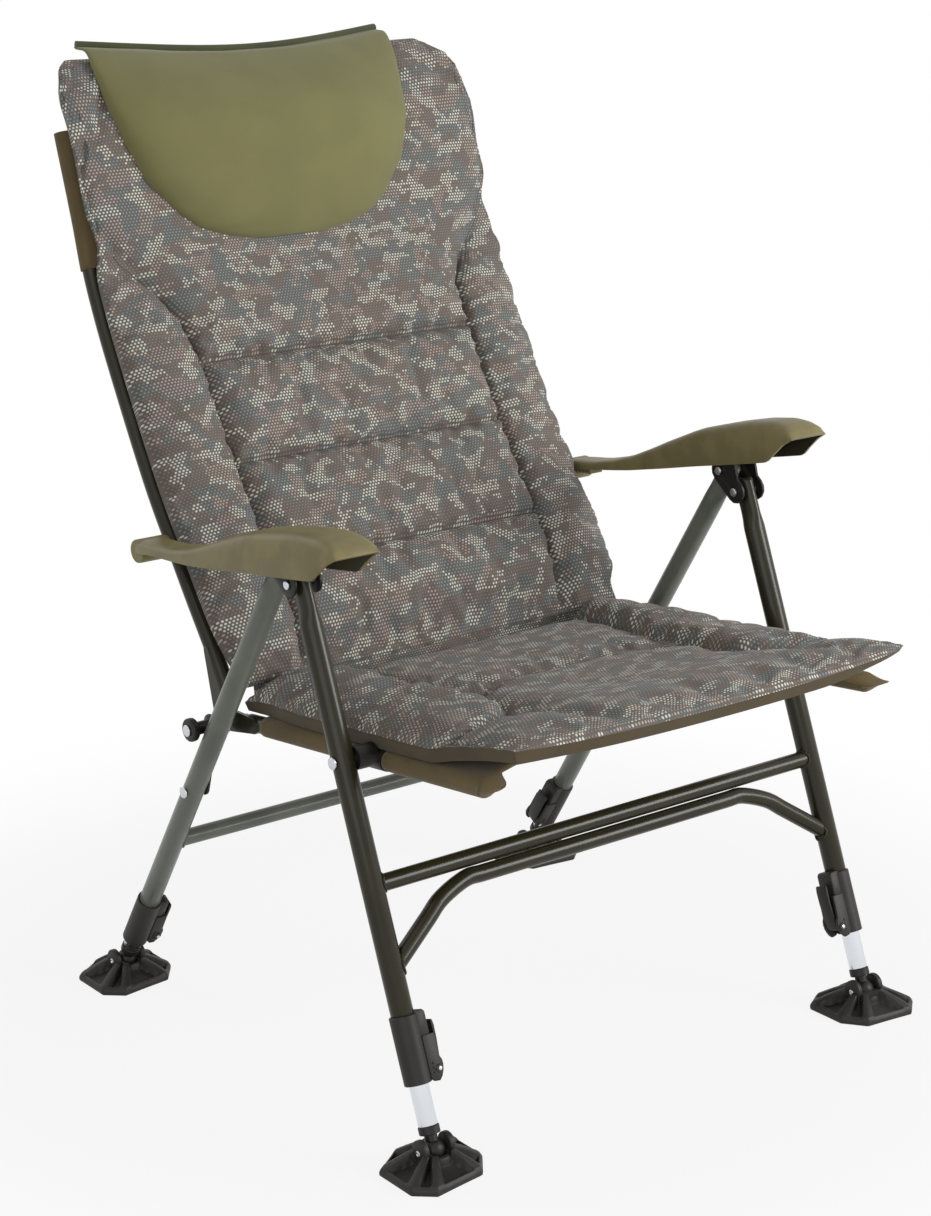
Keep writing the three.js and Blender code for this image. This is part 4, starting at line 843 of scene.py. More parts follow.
def mud_foot(node, place, sign):
    stands_for(smoothed(joined(node + "_form", foot_sole(place, sign), *foot_cup(place)), 34), node)
    hub = place @ Matrix.Translation((0, 0, FOOT_RIVET))
    rivets = [outward(turned("ring", FOOT_RIVET_RING, ZINC, hub @ quarter_turn(way, "Y"), 24, 40))
              for way in (-1, 1)]
    trimming(joined(node + "_rivets", *rivets), body_of_node(node))


def ball_stud(node, place):
    ball = [(-12 * math.cos(a), 12 * math.sin(a)) for a in np.linspace(0.06, math.pi - math.asin(7 / 12), 20)]
    neck = [(12.6, 7.0), (16.4, 7.0), (17.0, 7.6), (17.0, 10.8), (17.7, 11.5), (25.0, 11.5), (25.7, 11.0),
            (25.7, 8.5), (40.0, 8.5)]
    stands_for(turned(node + "_form", ball + neck, BLACK, place, 48, 34), node)


for side, sign in SIDES.items():
    mud_foot(f"front_mud_foot_{side}", Matrix.Translation(side_point(0, 0, sign * LEG_X)), sign)
    mud_foot(f"rear_mud_foot_{side}", Matrix.Translation(side_point(REAR_FOOT, 0, sign * LEG_X)), sign)
    ball_stud(f"front_ball_stud_{side}", front_leg_place(sign * LEG_X))
    ball_stud(f"rear_ball_stud_{side}", rear_leg_place(sign * LEG_X))


# Armrests
# Upper and lower outline, behind the front feet and above the floor, and the inner and outer edge across
ARM_TOP = [(545, 559), (538, 567), (520, 570), (480, 572), (440, 579), (405, 588), (372, 600), (339, 613),
           (284, 633), (230, 645), (190, 652), (156, 655), (137, 653), (125, 648), (118, 639)]
ARM_BOTTOM = [(545, 551), (538, 553), (520, 556), (480, 562), (440, 566), (405, 570), (372, 575), (339, 580),
              (284, 589), (230, 597), (190, 603), (158, 608), (146, 619), (133, 630), (120, 637)]
ARM_INNER = [297, 297, 297, 297, 296, 295, 294, 293, 292, 291, 291, 291, 292, 292, 294]
ARM_OUTER = [326, 333, 337, 341, 345, 348, 350, 351, 352, 353, 353, 353, 352, 352, 350]
ARM_RINGS, ARM_RING_POINTS = 46, 26
ARM_WALL = 3
LEFT_ARM_LIFT = 4.3
ARM_BOSS = [(-334.0, 13), (-332.0, 13.6), (-296.0, 13.6), (-294.0, 13)]
RACK_TEETH, RACK_START, RACK_PITCH = 8, 488, 6.2
RACK_ROOT, RACK_TIP, RACK_ACROSS = 562, 554.5, (303, 323)


def arm_rings(sign):
    """The shell's rings from rear to nose, each from its outer lower edge over the top to the inner one."""
    index = np.arange(len(ARM_TOP))
    shares = np.linspace(0, len(ARM_TOP) - 1, ARM_RINGS)
    rows = [*zip(*ARM_TOP), *zip(*ARM_BOTTOM), ARM_INNER, ARM_OUTER]
    ty, tz, by, bz, inner, outer = (np.interp(shares, index, row) for row in rows)
    rings = []
    for k in range(ARM_RINGS):
        for j in range(ARM_RING_POINTS):
            a = math.pi * j / (ARM_RING_POINTS - 1)
            flat = math.copysign(abs(math.cos(a)) ** 0.45, math.cos(a))
            rise = abs(math.sin(a)) ** 0.42
            x = (inner[k] + outer[k]) / 2 + (outer[k] - inner[k]) / 2 * flat
            y, z = by[k] + (ty[k] - by[k]) * rise, bz[k] + (tz[k] - bz[k]) * rise
            rings.append((sign * x, FRONT_FOOT_Y + y, z))
    return rings


def armrest(side, sign):
    """A moulded shell with rounded shoulders, open below, with a hub and a rack of teeth inside."""
    count = ARM_RING_POINTS
    faces = grid_faces(ARM_RINGS, count)
    faces.append(tuple(range((ARM_RINGS - 1) * count, ARM_RINGS * count)))
    faces.append(tuple(range(count - 1, -1, -1)))
    piece = outward(solid(f"armrest_shell_{side}", arm_rings(sign), faces, ARM, sharp=60))
    # The inner face takes the darker finish, painted shade inside the open shell
    piece.data.materials.append(SHADED)
    walled(piece, ARM_WALL, -1.0, 1)
    smoothed(rounded(piece, 0.7, 50), 45)
    pin = side_point(*ARM_PIN)
    across = Matrix.Translation((0, pin.y, pin.z)) @ quarter_turn(-sign, "Y") @ Matrix.Scale(-1, 4, (0, 0, 1))
    parts = [piece, outward(turned("boss", ARM_BOSS, ARM, across, 32))]
    for k in range(RACK_TEETH):
        behind = RACK_START + k * RACK_PITCH
        tooth = [(behind, RACK_ROOT), (behind, RACK_TIP), (behind + 2.6, RACK_TIP), (behind + 4.2, RACK_ROOT)]
        sides = [[side_point(*corner, sign * x) for corner in tooth] for x in RACK_ACROSS]
        parts.append(outward(plate("tooth", *sides, ARM)))
    shell = joined(f"armrest_form_{side}", *parts)
    if side == "left":
        lift = Matrix.Rotation(math.radians(-LEFT_ARM_LIFT), 4, "X")
        about_pin = Matrix.Scale(MM, 4) @ Matrix.Translation(pin) @ lift @ Matrix.Translation(-pin)
        shell.data.transform(about_pin @ Matrix.Scale(1 / MM, 4))
    stands_for(shell, f"armrest_{side}")


for side, sign in SIDES.items():
    armrest(side, sign)


# Cushions
def edge_round(share, power):
    return np.sqrt(np.maximum(0, 1 - np.abs(share) ** power))


def finer(grid):
    """Twice as many rows and columns, on a smooth curve through the points."""
    for axis in (0, 1):
        g = np.moveaxis(grid, axis, 0)
        before = np.concatenate([2 * g[:1] - g[1:2], g[:-2]])
        after = np.concatenate([g[2:], 2 * g[-1:] - g[-2:-1]])
        middle = (9 * (g[:-1] + g[1:]) - before - after) / 16
        out = np.empty((2 * len(g) - 1, *g.shape[1:]))
        out[::2] = g
        out[1::2] = middle
        grid = np.moveaxis(out, 0, axis)
    return grid


STOPS_GATHER = 0.45


def stops(marks, end, spacing):
    """Places from 0 to end with one on every mark, closer together near the marks."""
    ends = [0.0, *marks, end]
    out = [0.0]
    for a, b in zip(ends, ends[1:]):
        count = max(3, round((b - a) / spacing))
        t = np.arange(1, count + 1) / count
        eased = 0.5 - 0.5 * np.cos(math.pi * t)
        out += list(a + (b - a) * (t * (1 - STOPS_GATHER) + STOPS_GATHER * eased))
    return np.array(out)


def grid_piece(name, top, under, uv, finishes, rim_rows=3):
    """A closed pad from a fine upper grid and the matching lower grid, with a rim between them."""
    rows, columns = top.shape[:2]
    points = [top.reshape(-1, 3), under.reshape(-1, 3)]
    n = rows * columns
    rim = [(0, c) for c in range(columns - 1)] + [(r, columns - 1) for r in range(rows - 1)]
    rim += [(rows - 1, c) for c in range(columns - 1, 0, -1)] + [(r, 0) for r in range(rows - 1, 0, -1)]
    index = np.array([r * columns + c for r, c in rim])
    a, b = top.reshape(-1, 3)[index], under.reshape(-1, 3)[index]
    layers = [index]
    base = 2 * n
    for k in range(1, rim_rows):
        points.append(a + (b - a) * k / rim_rows)
        layers.append(base + np.arange(len(index)))
        base += len(index)
    layers.append(index + n)
    uvs = [uv.reshape(-1, 2), uv.reshape(-1, 2)] + [uv.reshape(-1, 2)[index]] * (rim_rows - 1)
    faces, marks = [], []
    for face in grid_faces(rows, columns):
        faces += [face, tuple(q + n for q in (face[0], *face[:0:-1]))]
        marks += [0, 1]
    for k in range(rim_rows):
        for i in range(len(index)):
            j = (i + 1) % len(index)
            faces.append((layers[k][i], layers[k + 1][i], layers[k + 1][j], layers[k][j]))
            marks.append(2)
    points, uvs = np.concatenate(points), np.concatenate(uvs)
    return solid(name, points, faces, finishes, sharp=70, uvs=uvs, marks=marks)


CLOTH = {"quality": 6, "mass": 0.25, "tension_stiffness": 14, "compression_stiffness": 14,
         "shear_stiffness": 5, "bending_stiffness": 0.25, "air_damping": 3, "use_pressure": True,
         "uniform_pressure_force": 3.0, "shrink_min": -0.04, "vertex_group_mass": "sewn"}
CLOTH_FRAMES = 18


def puffed(grid, fixed, cap):
    """Blows a cloth grid out between its sewn points, and keeps each point within the cap."""
    rows, columns = grid.shape[:2]
    mesh = bpy.data.meshes.new("cloth")
    mesh.from_pydata((grid.reshape(-1, 3) * MM).tolist(), [], grid_faces(rows, columns))
    sheet = added("cloth", mesh)
    group = sheet.vertex_groups.new(name="sewn")
    weights = np.round(fixed.ravel(), 1)
    for weight in np.unique(weights):
        if weight > 0:
            group.add(np.nonzero(weights == weight)[0].tolist(), float(weight), "REPLACE")
    cloth = sheet.modifiers.new("cloth", "CLOTH")
    for key, value in CLOTH.items():
        setattr(cloth.settings, key, value)
    cloth.settings.effector_weights.gravity = 0
    cloth.collision_settings.use_collision = False
    cloth.point_cache.frame_start = 1
    cloth.point_cache.frame_end = CLOTH_FRAMES
    scene = bpy.context.scene
    for number in range(1, CLOTH_FRAMES + 1):
        scene.frame_set(number)
    bpy.context.view_layer.update()
    shown = sheet.evaluated_get(bpy.context.evaluated_depsgraph_get())
    moved = np.empty(rows * columns * 3)
    shown.data.vertices.foreach_get("co", moved)
    scene.frame_set(1)
    bpy.data.objects.remove(sheet)
    bpy.data.meshes.remove(mesh)
    shift = moved.reshape(grid.shape) / MM - grid
    length = np.linalg.norm(shift, axis=-1, keepdims=True)
    return grid + shift * np.where(length > 1e-6, cap * np.tanh(length / cap) / np.maximum(length, 1e-6), 0)


def tuck(distance, depth, reach):
    """How far the cover is drawn in beside a seam, steepest at the seam itself."""
    near = np.clip(1 - distance / reach, 0, 1)
    return depth * (1 - np.sqrt(1 - near ** 2))


def drawn_in(past, to_channel, tucks):
    return np.maximum(tuck(np.abs(past), *tucks[0]), tuck(to_channel, *tucks[1]))


def puckers(along, distance, reach, seed, wave=24.0):
    """Small folds square to a seam, which die out away from it."""
    rng = np.random.default_rng(seed)
    out = np.zeros(np.broadcast(along, distance).shape)
    for _ in range(4):
        length = wave * rng.uniform(0.7, 1.6)
        phase = rng.uniform(0, 2 * math.pi)
        out += np.sin(2 * math.pi * along / length + phase + 0.6 * np.sin(along / 47 + phase))
    return out / 4 * np.exp(-(np.abs(distance) / reach)) * (1 - np.exp(-((distance / 4.0) ** 2)))


RIPPLE_WAVES = 7


def ripples(x, s, seed, scale):
    """Gentle creases from a few crossed waves."""
    rng = np.random.default_rng(seed)
    out = np.zeros_like(x)
    for _ in range(RIPPLE_WAVES):
        heading = rng.uniform(0, math.pi)
        wave = scale * rng.uniform(0.6, 1.8)
        phase = rng.uniform(0, 2 * math.pi)
        out += np.sin((x * math.cos(heading) + s * math.sin(heading)) * 2 * math.pi / wave + phase)
    return out / RIPPLE_WAVES


class BackLine:
    """The side view of the back tube and of the roll of the pad beyond it."""

    def __init__(self):
        path = [side_point(b, h) for b, h in BACK_PATH]
        end = path[-1]
        path += [Vector((0, end.y + b, end.z + h)) for b, h in HEAD_ROLL]
        self.points, self.length = smooth_path(path, 600)
        self.along = np.linspace(0, self.length, 600)

    def side(self, s):
        """The line's own place a length along it."""
        return [np.interp(s, self.along, self.points[:, k]) for k in (1, 2)]

    def at(self, s, x, lift):
        """The place a length along the line, across, and square to it."""
        y, z = self.side(s)
        after, before = self.side(np.minimum(s + 2.0, self.length)), self.side(np.maximum(s - 2.0, 0))
        ty, tz = after[0] - before[0], after[1] - before[1]
        norm = np.hypot(ty, tz)
        return np.stack([x, y - tz / norm * lift, z + ty / norm * lift], axis=-1)


LINE = BackLine()
PAD_END = LINE.length - 32
PAD_BASE = 13
BACK_BOXING = 11
BACK_CROWN = 34
# How deep the cover is drawn in beside the side seams and the channels, and how far from them
BACK_TUCKS = (19, 34), (19, 42)
SEAT_TUCKS = (11, 30), (7, 40)
# How far out the side seams lie, along the back and along the seat
BOLSTER = np.array([(0, 190), (60, 192), (130, 194), (300, 195), (390, 197), (440, 204), (480, 224),
                    (510, 250), (545, 286), (560, 310), (900, 340)], float)
BOLSTER_END = 545
CHANNELS = (127, 256, 384)
CHANNEL_TOP = 430
SEAM_SHARE = 0.66


def back_half_width(v):
    """Half the back's width: narrower at the hips and the head, with a notch below the shoulders."""
    head = np.maximum(0, (v - 0.92) / 0.08)
    notch = np.exp(-(((v - 0.72) / 0.035) ** 2))
    hips = np.maximum(0, (0.12 - v) / 0.12)
    return 290 * (1 - 0.12 * head ** 2 - 0.03 * notch - 0.06 * hips ** 2)


def head_taper(v):
    """How much of the padding is left towards the head."""
    return 1 - 0.82 * smoothstep(v, 0.42, 0.8)


def split_columns(share, seam, half):
    """Across a pad: columns share -1 to 1, with one column on the seam of each side."""
    seam = np.minimum(seam, half * 0.93)
    inner = share / SEAM_SHARE * seam
    outer = np.sign(share) * (seam + (np.abs(share) - SEAM_SHARE) / (1 - SEAM_SHARE) * (half - seam))
    return np.where(np.abs(share) <= SEAM_SHARE, inner, outer)


def column_shares(inner, outer):
    """Shares across a pad from -1 to 1, closer together near the seams and the rim."""
    even = np.linspace(-1, 1, 2 * inner + 1)
    middle = np.sin(even * math.pi / 2) * 0.25 + even * 0.75
    t = np.linspace(0, 1, outer + 1)[1:]
    side = SEAM_SHARE + (1 - SEAM_SHARE) * (t * 0.5 + 0.5 * (0.5 - 0.5 * np.cos(math.pi * t)))
    return np.concatenate([-side[::-1], middle * SEAM_SHARE, side])


def beyond(seam, along, x):
    """How far each point lies outside the seam of its side, square to the seam."""
    slope = np.interp(along, seam[:, 0], np.gradient(seam[:, 1], seam[:, 0]))
    return (np.abs(x) - np.interp(along, *seam.T)) / np.sqrt(1 + slope ** 2)


def sewn(u, v, past, to_channel, plain):
    """1 where the cover is sewn down or at its rim, 0 where it can swell. plain has no side seams."""
    fixed = 1 - np.clip((np.minimum(np.abs(past) + 60 * plain, to_channel) - 2) / 10, 0, 1)
    rim = np.clip((1 - np.abs(u)) * 30, 0, 1) * np.clip(v * 18, 0, 1) * np.clip((1 - v) * 18, 0, 1)
    return np.maximum(fixed, 1 - rim)


def back_pad():
    """The padded back, with three channels and a bolster down each side. Gives the lines of its seams."""
    rows = stops(CHANNELS, PAD_END, 8.5)
    share, s = np.meshgrid(column_shares(22, 13), rows)
    v = s / PAD_END
    half = back_half_width(v)
    line = np.interp(s, *BOLSTER.T)
    x = split_columns(share, line, half)
    u = x / half
    past = beyond(BOLSTER, s, x)
    to_channel = np.where((np.abs(x) < line + 1) & (s < CHANNEL_TOP),
                          np.min([np.abs(s - c) for c in CHANNELS], axis=0), 400.0)
    crown = BACK_CROWN * edge_round(u, 5) * edge_round(2 * v - 1, 16) * head_taper(v)
    draw = drawn_in(past, to_channel, BACK_TUCKS)
    swell = BACK_BOXING + np.maximum(crown - draw, 0)
    side = smoothstep(past, 0, 25)
    lift = PAD_BASE + 5 + (swell - 5) * smoothstep(s, -19 - 25 * side, 75 - 25 * side)
    lift += 2.6 * puckers(s, past, 22, 3) * (s < BOLSTER_END)
    lift += 2.0 * puckers(x, to_channel, 20, 8, 30)
    lift += 0.9 * ripples(x, s, 5, 70) * edge_round(u, 4)
    lift += 1.5 * puckers(s, (1 - np.abs(u)) * half, 26, 12, 30)
    edge = 1.6 * np.sin(s / 9.5 + np.sign(u) * 1.3 + 1.5 * np.sin(s / 41)) * np.abs(u) ** 12
    top = LINE.at(s, x + np.sign(u) * edge, np.maximum(lift, PAD_BASE + 4))
    top = puffed(top, sewn(u, v, past, to_channel, s > BOLSTER_END), 7)
    under = LINE.at(s, x * 0.985, 10.8 + 1.8 * smoothstep(s, PAD_END - 200, PAD_END - 150))
    seams = []
    for c in CHANNELS:
        r = int(np.argmin(np.abs(rows - c)))
        keep = np.abs(share[r]) <= SEAM_SHARE + 1e-6
        seams.append(top[r][keep])
    for way in (-1, 1):
        column = int(np.argmin(np.abs(share[0] - way * SEAM_SHARE)))
        seams.append(top[(rows > 12) & (rows < BOLSTER_END - 5), column])
    uv = np.stack([x, s * 1.02], axis=-1)
    piece = grid_piece("back_cushion", finer(top), finer(under), finer(uv), [CAMO, KHAKI, CAMO])
    stands_for(piece, "back_pad")
    out = np.array([0.0, -0.9, 0.45]) * 0.5
    return [seam + out for seam in seams]


beads("back_stitches", back_pad(), BACK_STITCH, THREAD, "back_frame")

SEAT_SEAM = np.array([(0, 188), (60, 186), (120, 177), (200, 168), (300, 162), (350, 158), (372, 175),
                      (392, 215), (405, 290), (600, 320)], float)
SEAT_FRONT, SEAT_REAR, SEAT_HALF = 519, 24, 283
SEAT_CHANNEL = 252
SEAT_BOLSTER_END = 405


def seat_pad():
    """The padded seat, with a channel across and a bolster down each side, fuller towards its front."""
    rows = stops((SEAT_CHANNEL - SEAT_REAR,), SEAT_FRONT - SEAT_REAR, 7.5)
    share, run = np.meshgrid(column_shares(21, 13), rows)
    v = run / (SEAT_FRONT - SEAT_REAR)
    far = np.where(share > 0, 1.0, 0.15)
    half = SEAT_HALF * (1 - 0.03 * far * np.maximum(0, (v - 0.9) / 0.1) ** 2)
    half -= 7 * smoothstep(0.24 - v, 0, 0.16)
    level = SEAT_REAR + run
    x = split_columns(share, np.interp(level, *SEAT_SEAM.T), half)
    u = x / half
    corner = np.maximum(0, np.abs(u) - 0.84) / 0.16
    bend = 70 * smoothstep(np.abs(x), 90, 190)
    lean = smoothstep(level, 90, SEAT_CHANNEL) * (1 - smoothstep(level, SEAT_CHANNEL, 430))
    bow = 5 * (1 - u ** 2) * smoothstep(v, 0.75, 1)
    along = SEAT_REAR + (SEAT_FRONT * (1 - 0.016 * far * corner ** 2) - SEAT_REAR) * v + bend * lean + bow
    past = beyond(SEAT_SEAM, along, x)
    to_channel = np.where(past < 1, np.abs(along - SEAT_CHANNEL - bend), 400.0)
    crown = 15 * edge_round(u, 5) * edge_round(2 * v - 1, 14)
    base = PAD_BASE + (20 - 5 * (1 - u ** 2)) * smoothstep(v, 0.62, 1)
    rise = (13 + 8 * smoothstep(300 - along, 0, 220)) * smoothstep(past, 0, 14) * edge_round(u, 3)
    draw = drawn_in(past, to_channel, SEAT_TUCKS)
    point = smoothstep(v, 0.8, 1.0) * smoothstep(np.abs(u), 0.5, 1.0) * far
    base += 10 * point
    swell = 16 - 4 * smoothstep(v, 0.85, 1) * (1 - u ** 4) - 10 * point + np.maximum(0, crown + rise - draw)
    side = smoothstep(past, 0, 25)
    lift = base + 5 + (swell - 5) * smoothstep(along - SEAT_REAR, -19 - 20 * side, 75 - 35 * side)
    bolster = smoothstep(past, 0, 10) * (1 - smoothstep(along, 360, 410))
    lift += 5.6 * bolster * puckers(along + 0.35 * np.abs(x), past, 60, 21, 32)
    lift += 1.8 * puckers(along, past, 18, 7, 26) * (past < 0)
    lift += 1.4 * puckers(x, to_channel, 18, 5, 32)
    lift += 1.1 * ripples(x, along, 9, 70) * edge_round(u, 4) * edge_round(2 * v - 1, 6)
    top = np.stack([x, -along, lift], axis=-1)[:, ::-1]
    under = np.stack([x * 0.985, -along * 0.995, base], axis=-1)[:, ::-1]
    top = puffed(top, sewn(u, v, past, to_channel, along > SEAT_BOLSTER_END)[:, ::-1], 6)
    uv = np.stack([x, along + 12 * smoothstep(v, 0.95, 1)], axis=-1)[:, ::-1]
    piece = grid_piece("seat_cushion", finer(top), finer(under), finer(uv), [CAMO, KHAKI, BOXING], 4)
    piece.data.transform(Matrix.Scale(MM, 4) @ seat_place() @ Matrix.Scale(1 / MM, 4))
    stands_for(piece, "seat_pad")


seat_pad()

CREASE = [(392, 388), (399, 392.5), (404.5, 395.5), (407.8, 399.5), (409.2, 406), (410.5, 414), (414, 422)]
CREASE_HALF, CREASE_DEPTH = 256, 6


def crease():
    """The cover runs on from the seat to the back in one fold."""
    line, _ = smooth_path([side_point(b, h) for b, h in CREASE], 19)
    ahead = np.gradient(line, axis=0)
    ahead /= np.linalg.norm(ahead, axis=1)[:, None]
    xs = np.linspace(-CREASE_HALF, CREASE_HALF, 90)
    top, under = [], []
    for k in range(len(line)):
        normal = np.array([0, ahead[k][2], -ahead[k][1]])
        fold = 1.2 * np.sin(xs / 13 + 2 * np.sin(xs / 61)) * math.sin(math.pi * k / (len(line) - 1))
        top.append([line[k] + (x, 0, 0) - normal * f for x, f in zip(xs, fold)])
        under.append([line[k] + (x, 0, 0) + normal * CREASE_DEPTH for x in xs])
    top, under = np.array(top), np.array(under)
    uv = np.stack(np.meshgrid(xs, np.arange(len(line)) * 3.0), axis=-1)
    piece = grid_piece("crease_fold", top, under, uv, [CAMO, KHAKI, CAMO], 2)
    outward(piece)
    start, end = side_point(403, 394) * MM, side_point(409, 413) * MM
    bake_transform(piece)


crease()

PILLOW_LENGTH, PILLOW_HALF = 262, 226
PILLOW_OUTLINE = np.array([(0, 0.22), (0.03, 0.4), (0.08, 0.55), (0.15, 0.66), (0.3, 0.81), (0.5, 0.9),
                           (0.76, 0.955), (1, 0.965)], float)


def pillow_at(w, u, upper):
    """A point of the head cushion, from its share down to the top and its share across."""
    half = PILLOW_HALF * np.interp(w, PILLOW_OUTLINE[:, 0], PILLOW_OUTLINE[:, 1])
    level = LINE.length - PILLOW_LENGTH + w * PILLOW_LENGTH
    s = level - 32 * w ** 3 * (1 - u ** 2)
    v = level / PAD_END
    over = smoothstep(v, 1, LINE.length / PAD_END)
    base = PAD_BASE + BACK_BOXING + BACK_CROWN * head_taper(v) + 0.5 - 10 * over
    swell = edge_round(u, 2.5) * np.sin(math.pi * (0.02 + 0.94 * w)) ** 0.6
    swell *= 1 - 0.88 * smoothstep(w, 0.45, 0.95)
    lift = base + (3 + 54 * swell if upper else 0)
    return LINE.at(s, u * half - 28 + 23 * smoothstep(w, 0.6, 1.0), lift), u * half, s


def pillow():
    """The head cushion with the piping and the stitches along its upper edge."""
    rows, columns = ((90, 120))
    even = np.linspace(-1, 1, columns)
    across = np.sin(even * math.pi / 2) * 0.4 + even * 0.6
    t, u = np.meshgrid(np.linspace(0, 1, rows), across, indexing="ij")
    w = t ** 1.6
    top, x, s = pillow_at(w, u, True)
    under, _, _ = pillow_at(w, u, False)
    top[..., 2] += 0.7 * ripples(x, s, 17, 90) * edge_round(u, 3)
    piece = grid_piece("head_cushion", top, under, np.stack([x, s], axis=-1), [OLIVE, KHAKI, OLIVE], 2)
    stands_for(piece, "head_pillow")
    us = np.linspace(-0.995, 0.995, 90)
    edge, _, _ = pillow_at(np.full_like(us, 1.0), us, True)
    trim = swept("pillow_piping", [tuple(p + (0, 0, 0.8)) for p in edge], 4.8, PIPING, faces=16, steps=160)
    trimming(trim, "back_frame")
    line, _, _ = pillow_at(np.full_like(us, 0.972), us * 0.99, True)
    beads("pillow_stitches", [line], PILLOW_STITCH, PIPING, "back_frame")


pillow()


# Sheets
HEM_ARC = 84
HEM_ROWS = 8
HEM_ROLL = 2.6
HEM_TIP = 17
SLING_START, SLING_END, SLING_ROWS = 62, 452, 84
# The gap for the leg's bracket: where along the tube, and how far in from its axis
BRACKET_GAP, BRACKET_GAP_DEPTH = (252, 292), 16.5
SLING_THICKNESS, SLEEVE_THICKNESS = 1.2, 1.0


def sling():
    """The seat sheet: it wraps both side tubes, with gaps for the leg brackets and a hollow front hem."""
    tube, wrap = SEAT_TUBE_X, 11.2
    length = SLING_END - SLING_START
    section = [(-tube + 17, 9.2), (-tube + 13.6, 3.6)]
    for k in range(17):
        a = math.radians(-250 + 250 * k / 16)
        section.append((-tube + wrap * math.sin(a), wrap * math.cos(a)))
    middle = np.linspace(-tube + 6, tube - 6, 46)
    section += [(x, wrap - 1.0 * (1 - (x / tube) ** 2)) for x in middle]
    section += [(-x, z) for x, z in reversed(section[:19])]
    section = np.array(section)
    along = np.linspace(SLING_START, SLING_END, SLING_ROWS)
    points, uvs = [], []
    run = np.concatenate([[0], np.cumsum(np.linalg.norm(np.diff(section, axis=0), axis=1))])
    for a in along:
        for (x, z), r in zip(section, run):
            hem = HEM_ARC * max(0.0, 1 - (abs(x) / (tube - 6)) ** 1.5)
            place = SLING_START + (a - SLING_START) * (length - hem) / length
            points.append((x, -place, z))
            uvs.append((r, a))
    count = len(section)
    last = points[-count:]
    for k in range(1, HEM_ROWS + 1):
        turn = math.pi * k / HEM_ROWS
        flat = float(smoothstep(k / HEM_ROWS, 0, 1))
        for (x, y, z), r in zip(last, run):
            side = math.copysign(1, x)
            past = abs(x) - tube
            tip = float(smoothstep(abs(x), tube - 30, tube - 13))
            rolled = Vector((x, y - HEM_ROLL * math.sin(turn), z - HEM_ROLL * (1 - math.cos(turn))))
            closed = Vector((side * (tube + 4 * flat + past * (1 + 0.5 * flat)), y - HEM_TIP * k / HEM_ROWS,
                             z * (1 - 0.93 * flat) - 1.5 * flat))
            points.append(tuple(rolled.lerp(closed, tip)))
            uvs.append((r, along[-1] + 2.0 * k))
    along = np.concatenate([along, along[-1] + 2.0 * np.arange(1, HEM_ROWS + 1)])
    faces = []
    for face in grid_faces(len(along), count):
        r, c = divmod(face[0], count)
        a = (along[r] + along[r + 1]) / 2
        x = (section[c][0] + section[c + 1][0]) / 2
        if abs(x) <= tube - BRACKET_GAP_DEPTH or not BRACKET_GAP[0] < a < BRACKET_GAP[1]:
            faces.append((face[0], *face[:0:-1]))
    piece = solid("seat_sheet", points, faces, KHAKI, seat_place(), sharp=80, uvs=np.array(uvs))
    walled(piece, SLING_THICKNESS, 0)
    stands_for(piece, "seat_sling")


sling()


SLEEVE_DEPTH = 158
SLEEVE_OVER = 2


def back_pocket():
    """The sleeve over the top of the back frame."""
    rows, turn, wrap = 26, 14, 11.3
    points = []
    line, length = smooth_path([side_point(b, h) for b, h in BACK_PATH], 400)
    along = np.linspace(0, length, 400)
    for r in range(rows):
        down = SLEEVE_DEPTH - (SLEEVE_DEPTH + SLEEVE_OVER) * r / (rows - 1)
        s = min(length - down, length)
        y, z = np.interp(s, along, line[:, 1]), np.interp(s, along, line[:, 2])
        ahead = Vector((0, *(np.interp(s, along, np.gradient(line[:, k])) for k in (1, 2)))).normalized()
        extra = max(0.0, -down)
        y += ahead.y * extra
        z += ahead.z * extra
        ring = []
        for way in (1, -1):
            for k in range(turn + 1):
                a = -way * math.pi / 2 + math.pi * k / turn
                ring.append((way * BACK_TUBE_X + wrap * math.cos(a), wrap * math.sin(a)))
            for k in range(1, 24):
                x = way * BACK_TUBE_X * (1 - 2 * k / 24)
                pull = 1.4 * (1 - (x / BACK_TUBE_X) ** 2)
                ring.append((x, way * (wrap - pull)))
        for x, across in ring:
            points.append((x, y + across * ahead.z, z - across * ahead.y))
    faces = ring_faces(rows, len(ring))
    # Open at its lower end
    del faces[-2]
    piece = solid("back_sleeve", points, faces, KHAKI, sharp=80)
    walled(outward(piece), SLEEVE_THICKNESS, 0)
    stands_for(piece, "back_pocket")


back_pocket()


# Stage
FLOOR_HALF = 14.0
FLOOR_TONE = 0.55
# How much of the floor's light is its own, near the chair and away from it, and where that changes
OWN_LIGHT = (0.88, 1.0)
OWN_LIGHT_REACH = (0.5, 1.1)
# The world's strength at the horizon and overhead, where it lights the chair
WORLD_LIGHT = (0.42, 0.14)
# Each lamp's place and width in metres, and its power in watts
LAMPS = {
    "key": ((2.4, -3.2, 1.9), 1.8, 124),
    "fill": ((-2.8, -2.4, 1.4), 2.6, 32),
    "top": ((0.0, 0.4, 3.8), 3.0, 4),
    "back": ((-1.5, 3.0, 2.4), 2.0, 20),
}
LAMP_TARGET = Vector((0, 0, 0.5))
WHITE = (1, 1, 1, 1)


def seen_directly(tree):
    """1 for what the camera sees, straight, mirrored or through glass, and 0 for what lights the chair."""
    path = tree.nodes.new("ShaderNodeLightPath")
    seen = path.outputs["Is Camera Ray"]
    for kind in ("Is Glossy Ray", "Is Transmission Ray"):
        either = tree.nodes.new("ShaderNodeMath")
        either.operation = "MAXIMUM"
        tree.links.new(seen, either.inputs[0])
        tree.links.new(path.outputs[kind], either.inputs[1])
        seen = either.outputs[0]
    return seen


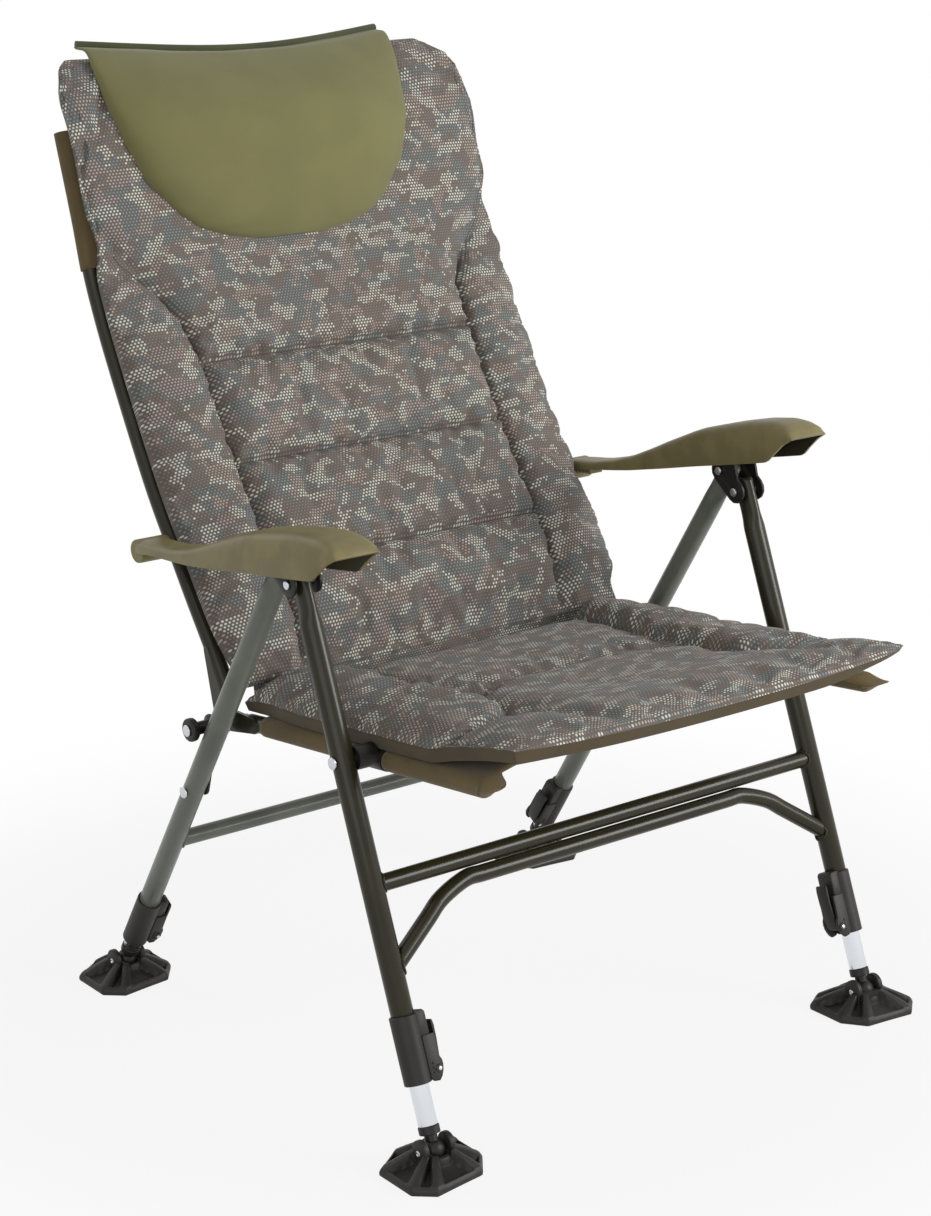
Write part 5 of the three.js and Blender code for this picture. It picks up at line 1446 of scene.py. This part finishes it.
def white_floor():
    """A floor that is white to the camera and keeps the chair's shadow."""
    mesh = bpy.data.meshes.new("studio_floor")
    corners = [(x * FLOOR_HALF, y * FLOOR_HALF, 0) for x, y in ((-1, -1), (1, -1), (1, 1), (-1, 1))]
    mesh.from_pydata(corners, [], [(0, 1, 2, 3)])
    floor = added("studio_floor", mesh)
    white = Finish("floor_white", Roughness=0.9)
    white.put("Base Color", (FLOOR_TONE, FLOOR_TONE, FLOOR_TONE, 1))
    mesh.materials.append(white.material)
    tree = white.tree
    seen = Tone(white, seen_directly(tree))
    away = white.node("ShaderNodeVectorMath", {"operation": "LENGTH"}, white.place(), output="Value")
    own = away.step(*OWN_LIGHT_REACH) * (OWN_LIGHT[1] - OWN_LIGHT[0]) + OWN_LIGHT[0]
    glow = tree.nodes.new("ShaderNodeEmission")
    glow.inputs["Color"].default_value = WHITE
    blend = tree.nodes.new("ShaderNodeMixShader")
    links = [((seen * own).socket, 0), (white.surface.outputs[0], 1), (glow.outputs[0], 2)]
    for source, socket in links:
        tree.links.new(source, blend.inputs[socket])
    tree.links.new(blend.outputs[0], tree.nodes["Material Output"].inputs["Surface"])


def world_light():
    """White to the camera, and a soft light on the chair that is stronger from the sides than from above."""
    world = bpy.data.worlds.new("studio")
    bpy.context.scene.world = world
    world.use_nodes = True
    tree = world.node_tree
    sky = tree.nodes["Background"]
    sky.inputs["Color"].default_value = WHITE
    heading = tree.nodes.new("ShaderNodeSeparateXYZ")
    tree.links.new(tree.nodes.new("ShaderNodeTexCoord").outputs["Generated"], heading.inputs[0])
    height = tree.nodes.new("ShaderNodeMapRange")
    height.inputs["To Min"].default_value, height.inputs["To Max"].default_value = WORLD_LIGHT
    tree.links.new(heading.outputs["Z"], height.inputs["Value"])
    level = tree.nodes.new("ShaderNodeMapRange")
    level.inputs["To Max"].default_value = 1.0
    tree.links.new(height.outputs[0], level.inputs["To Min"])
    tree.links.new(seen_directly(tree), level.inputs["Value"])
    tree.links.new(level.outputs[0], sky.inputs["Strength"])


def lamps():
    for name, (place, width, power) in LAMPS.items():
        light = bpy.data.lights.new(name, "AREA")
        light.shape = "SQUARE"
        light.size = width
        light.energy = power
        lamp = added(name, light)
        lamp.location = place
        lamp.rotation_euler = (LAMP_TARGET - Vector(place)).to_track_quat("-Z", "Y").to_euler()


LENS, LENS_SHIFT = 79.06, (-0.0043, -0.0044)
CAMERA_PLACE = (-1830.93, -1990.44, 1358.59)
CAMERA_TURN, CAMERA_TILT = math.radians(-38.10), math.radians(16.53)


def camera():
    """From the front and the chair's right. Its place is measured from between the front feet."""
    made = bpy.data.cameras.new("camera")
    made.lens = LENS
    made.sensor_width = 36
    made.sensor_fit = "AUTO"
    made.shift_x, made.shift_y = LENS_SHIFT
    seen = added("camera", made)
    flat = math.cos(CAMERA_TILT)
    look = Vector((-math.sin(CAMERA_TURN) * flat, math.cos(CAMERA_TURN) * flat, -math.sin(CAMERA_TILT)))
    seen.location = (Vector(CAMERA_PLACE) + side_point(0, 0)) * MM
    seen.rotation_euler = look.to_track_quat("-Z", "Y").to_euler()
    bpy.context.scene.camera = seen


white_floor()
world_light()
lamps()
camera()
bpy.context.scene.view_settings.view_transform = "Standard"
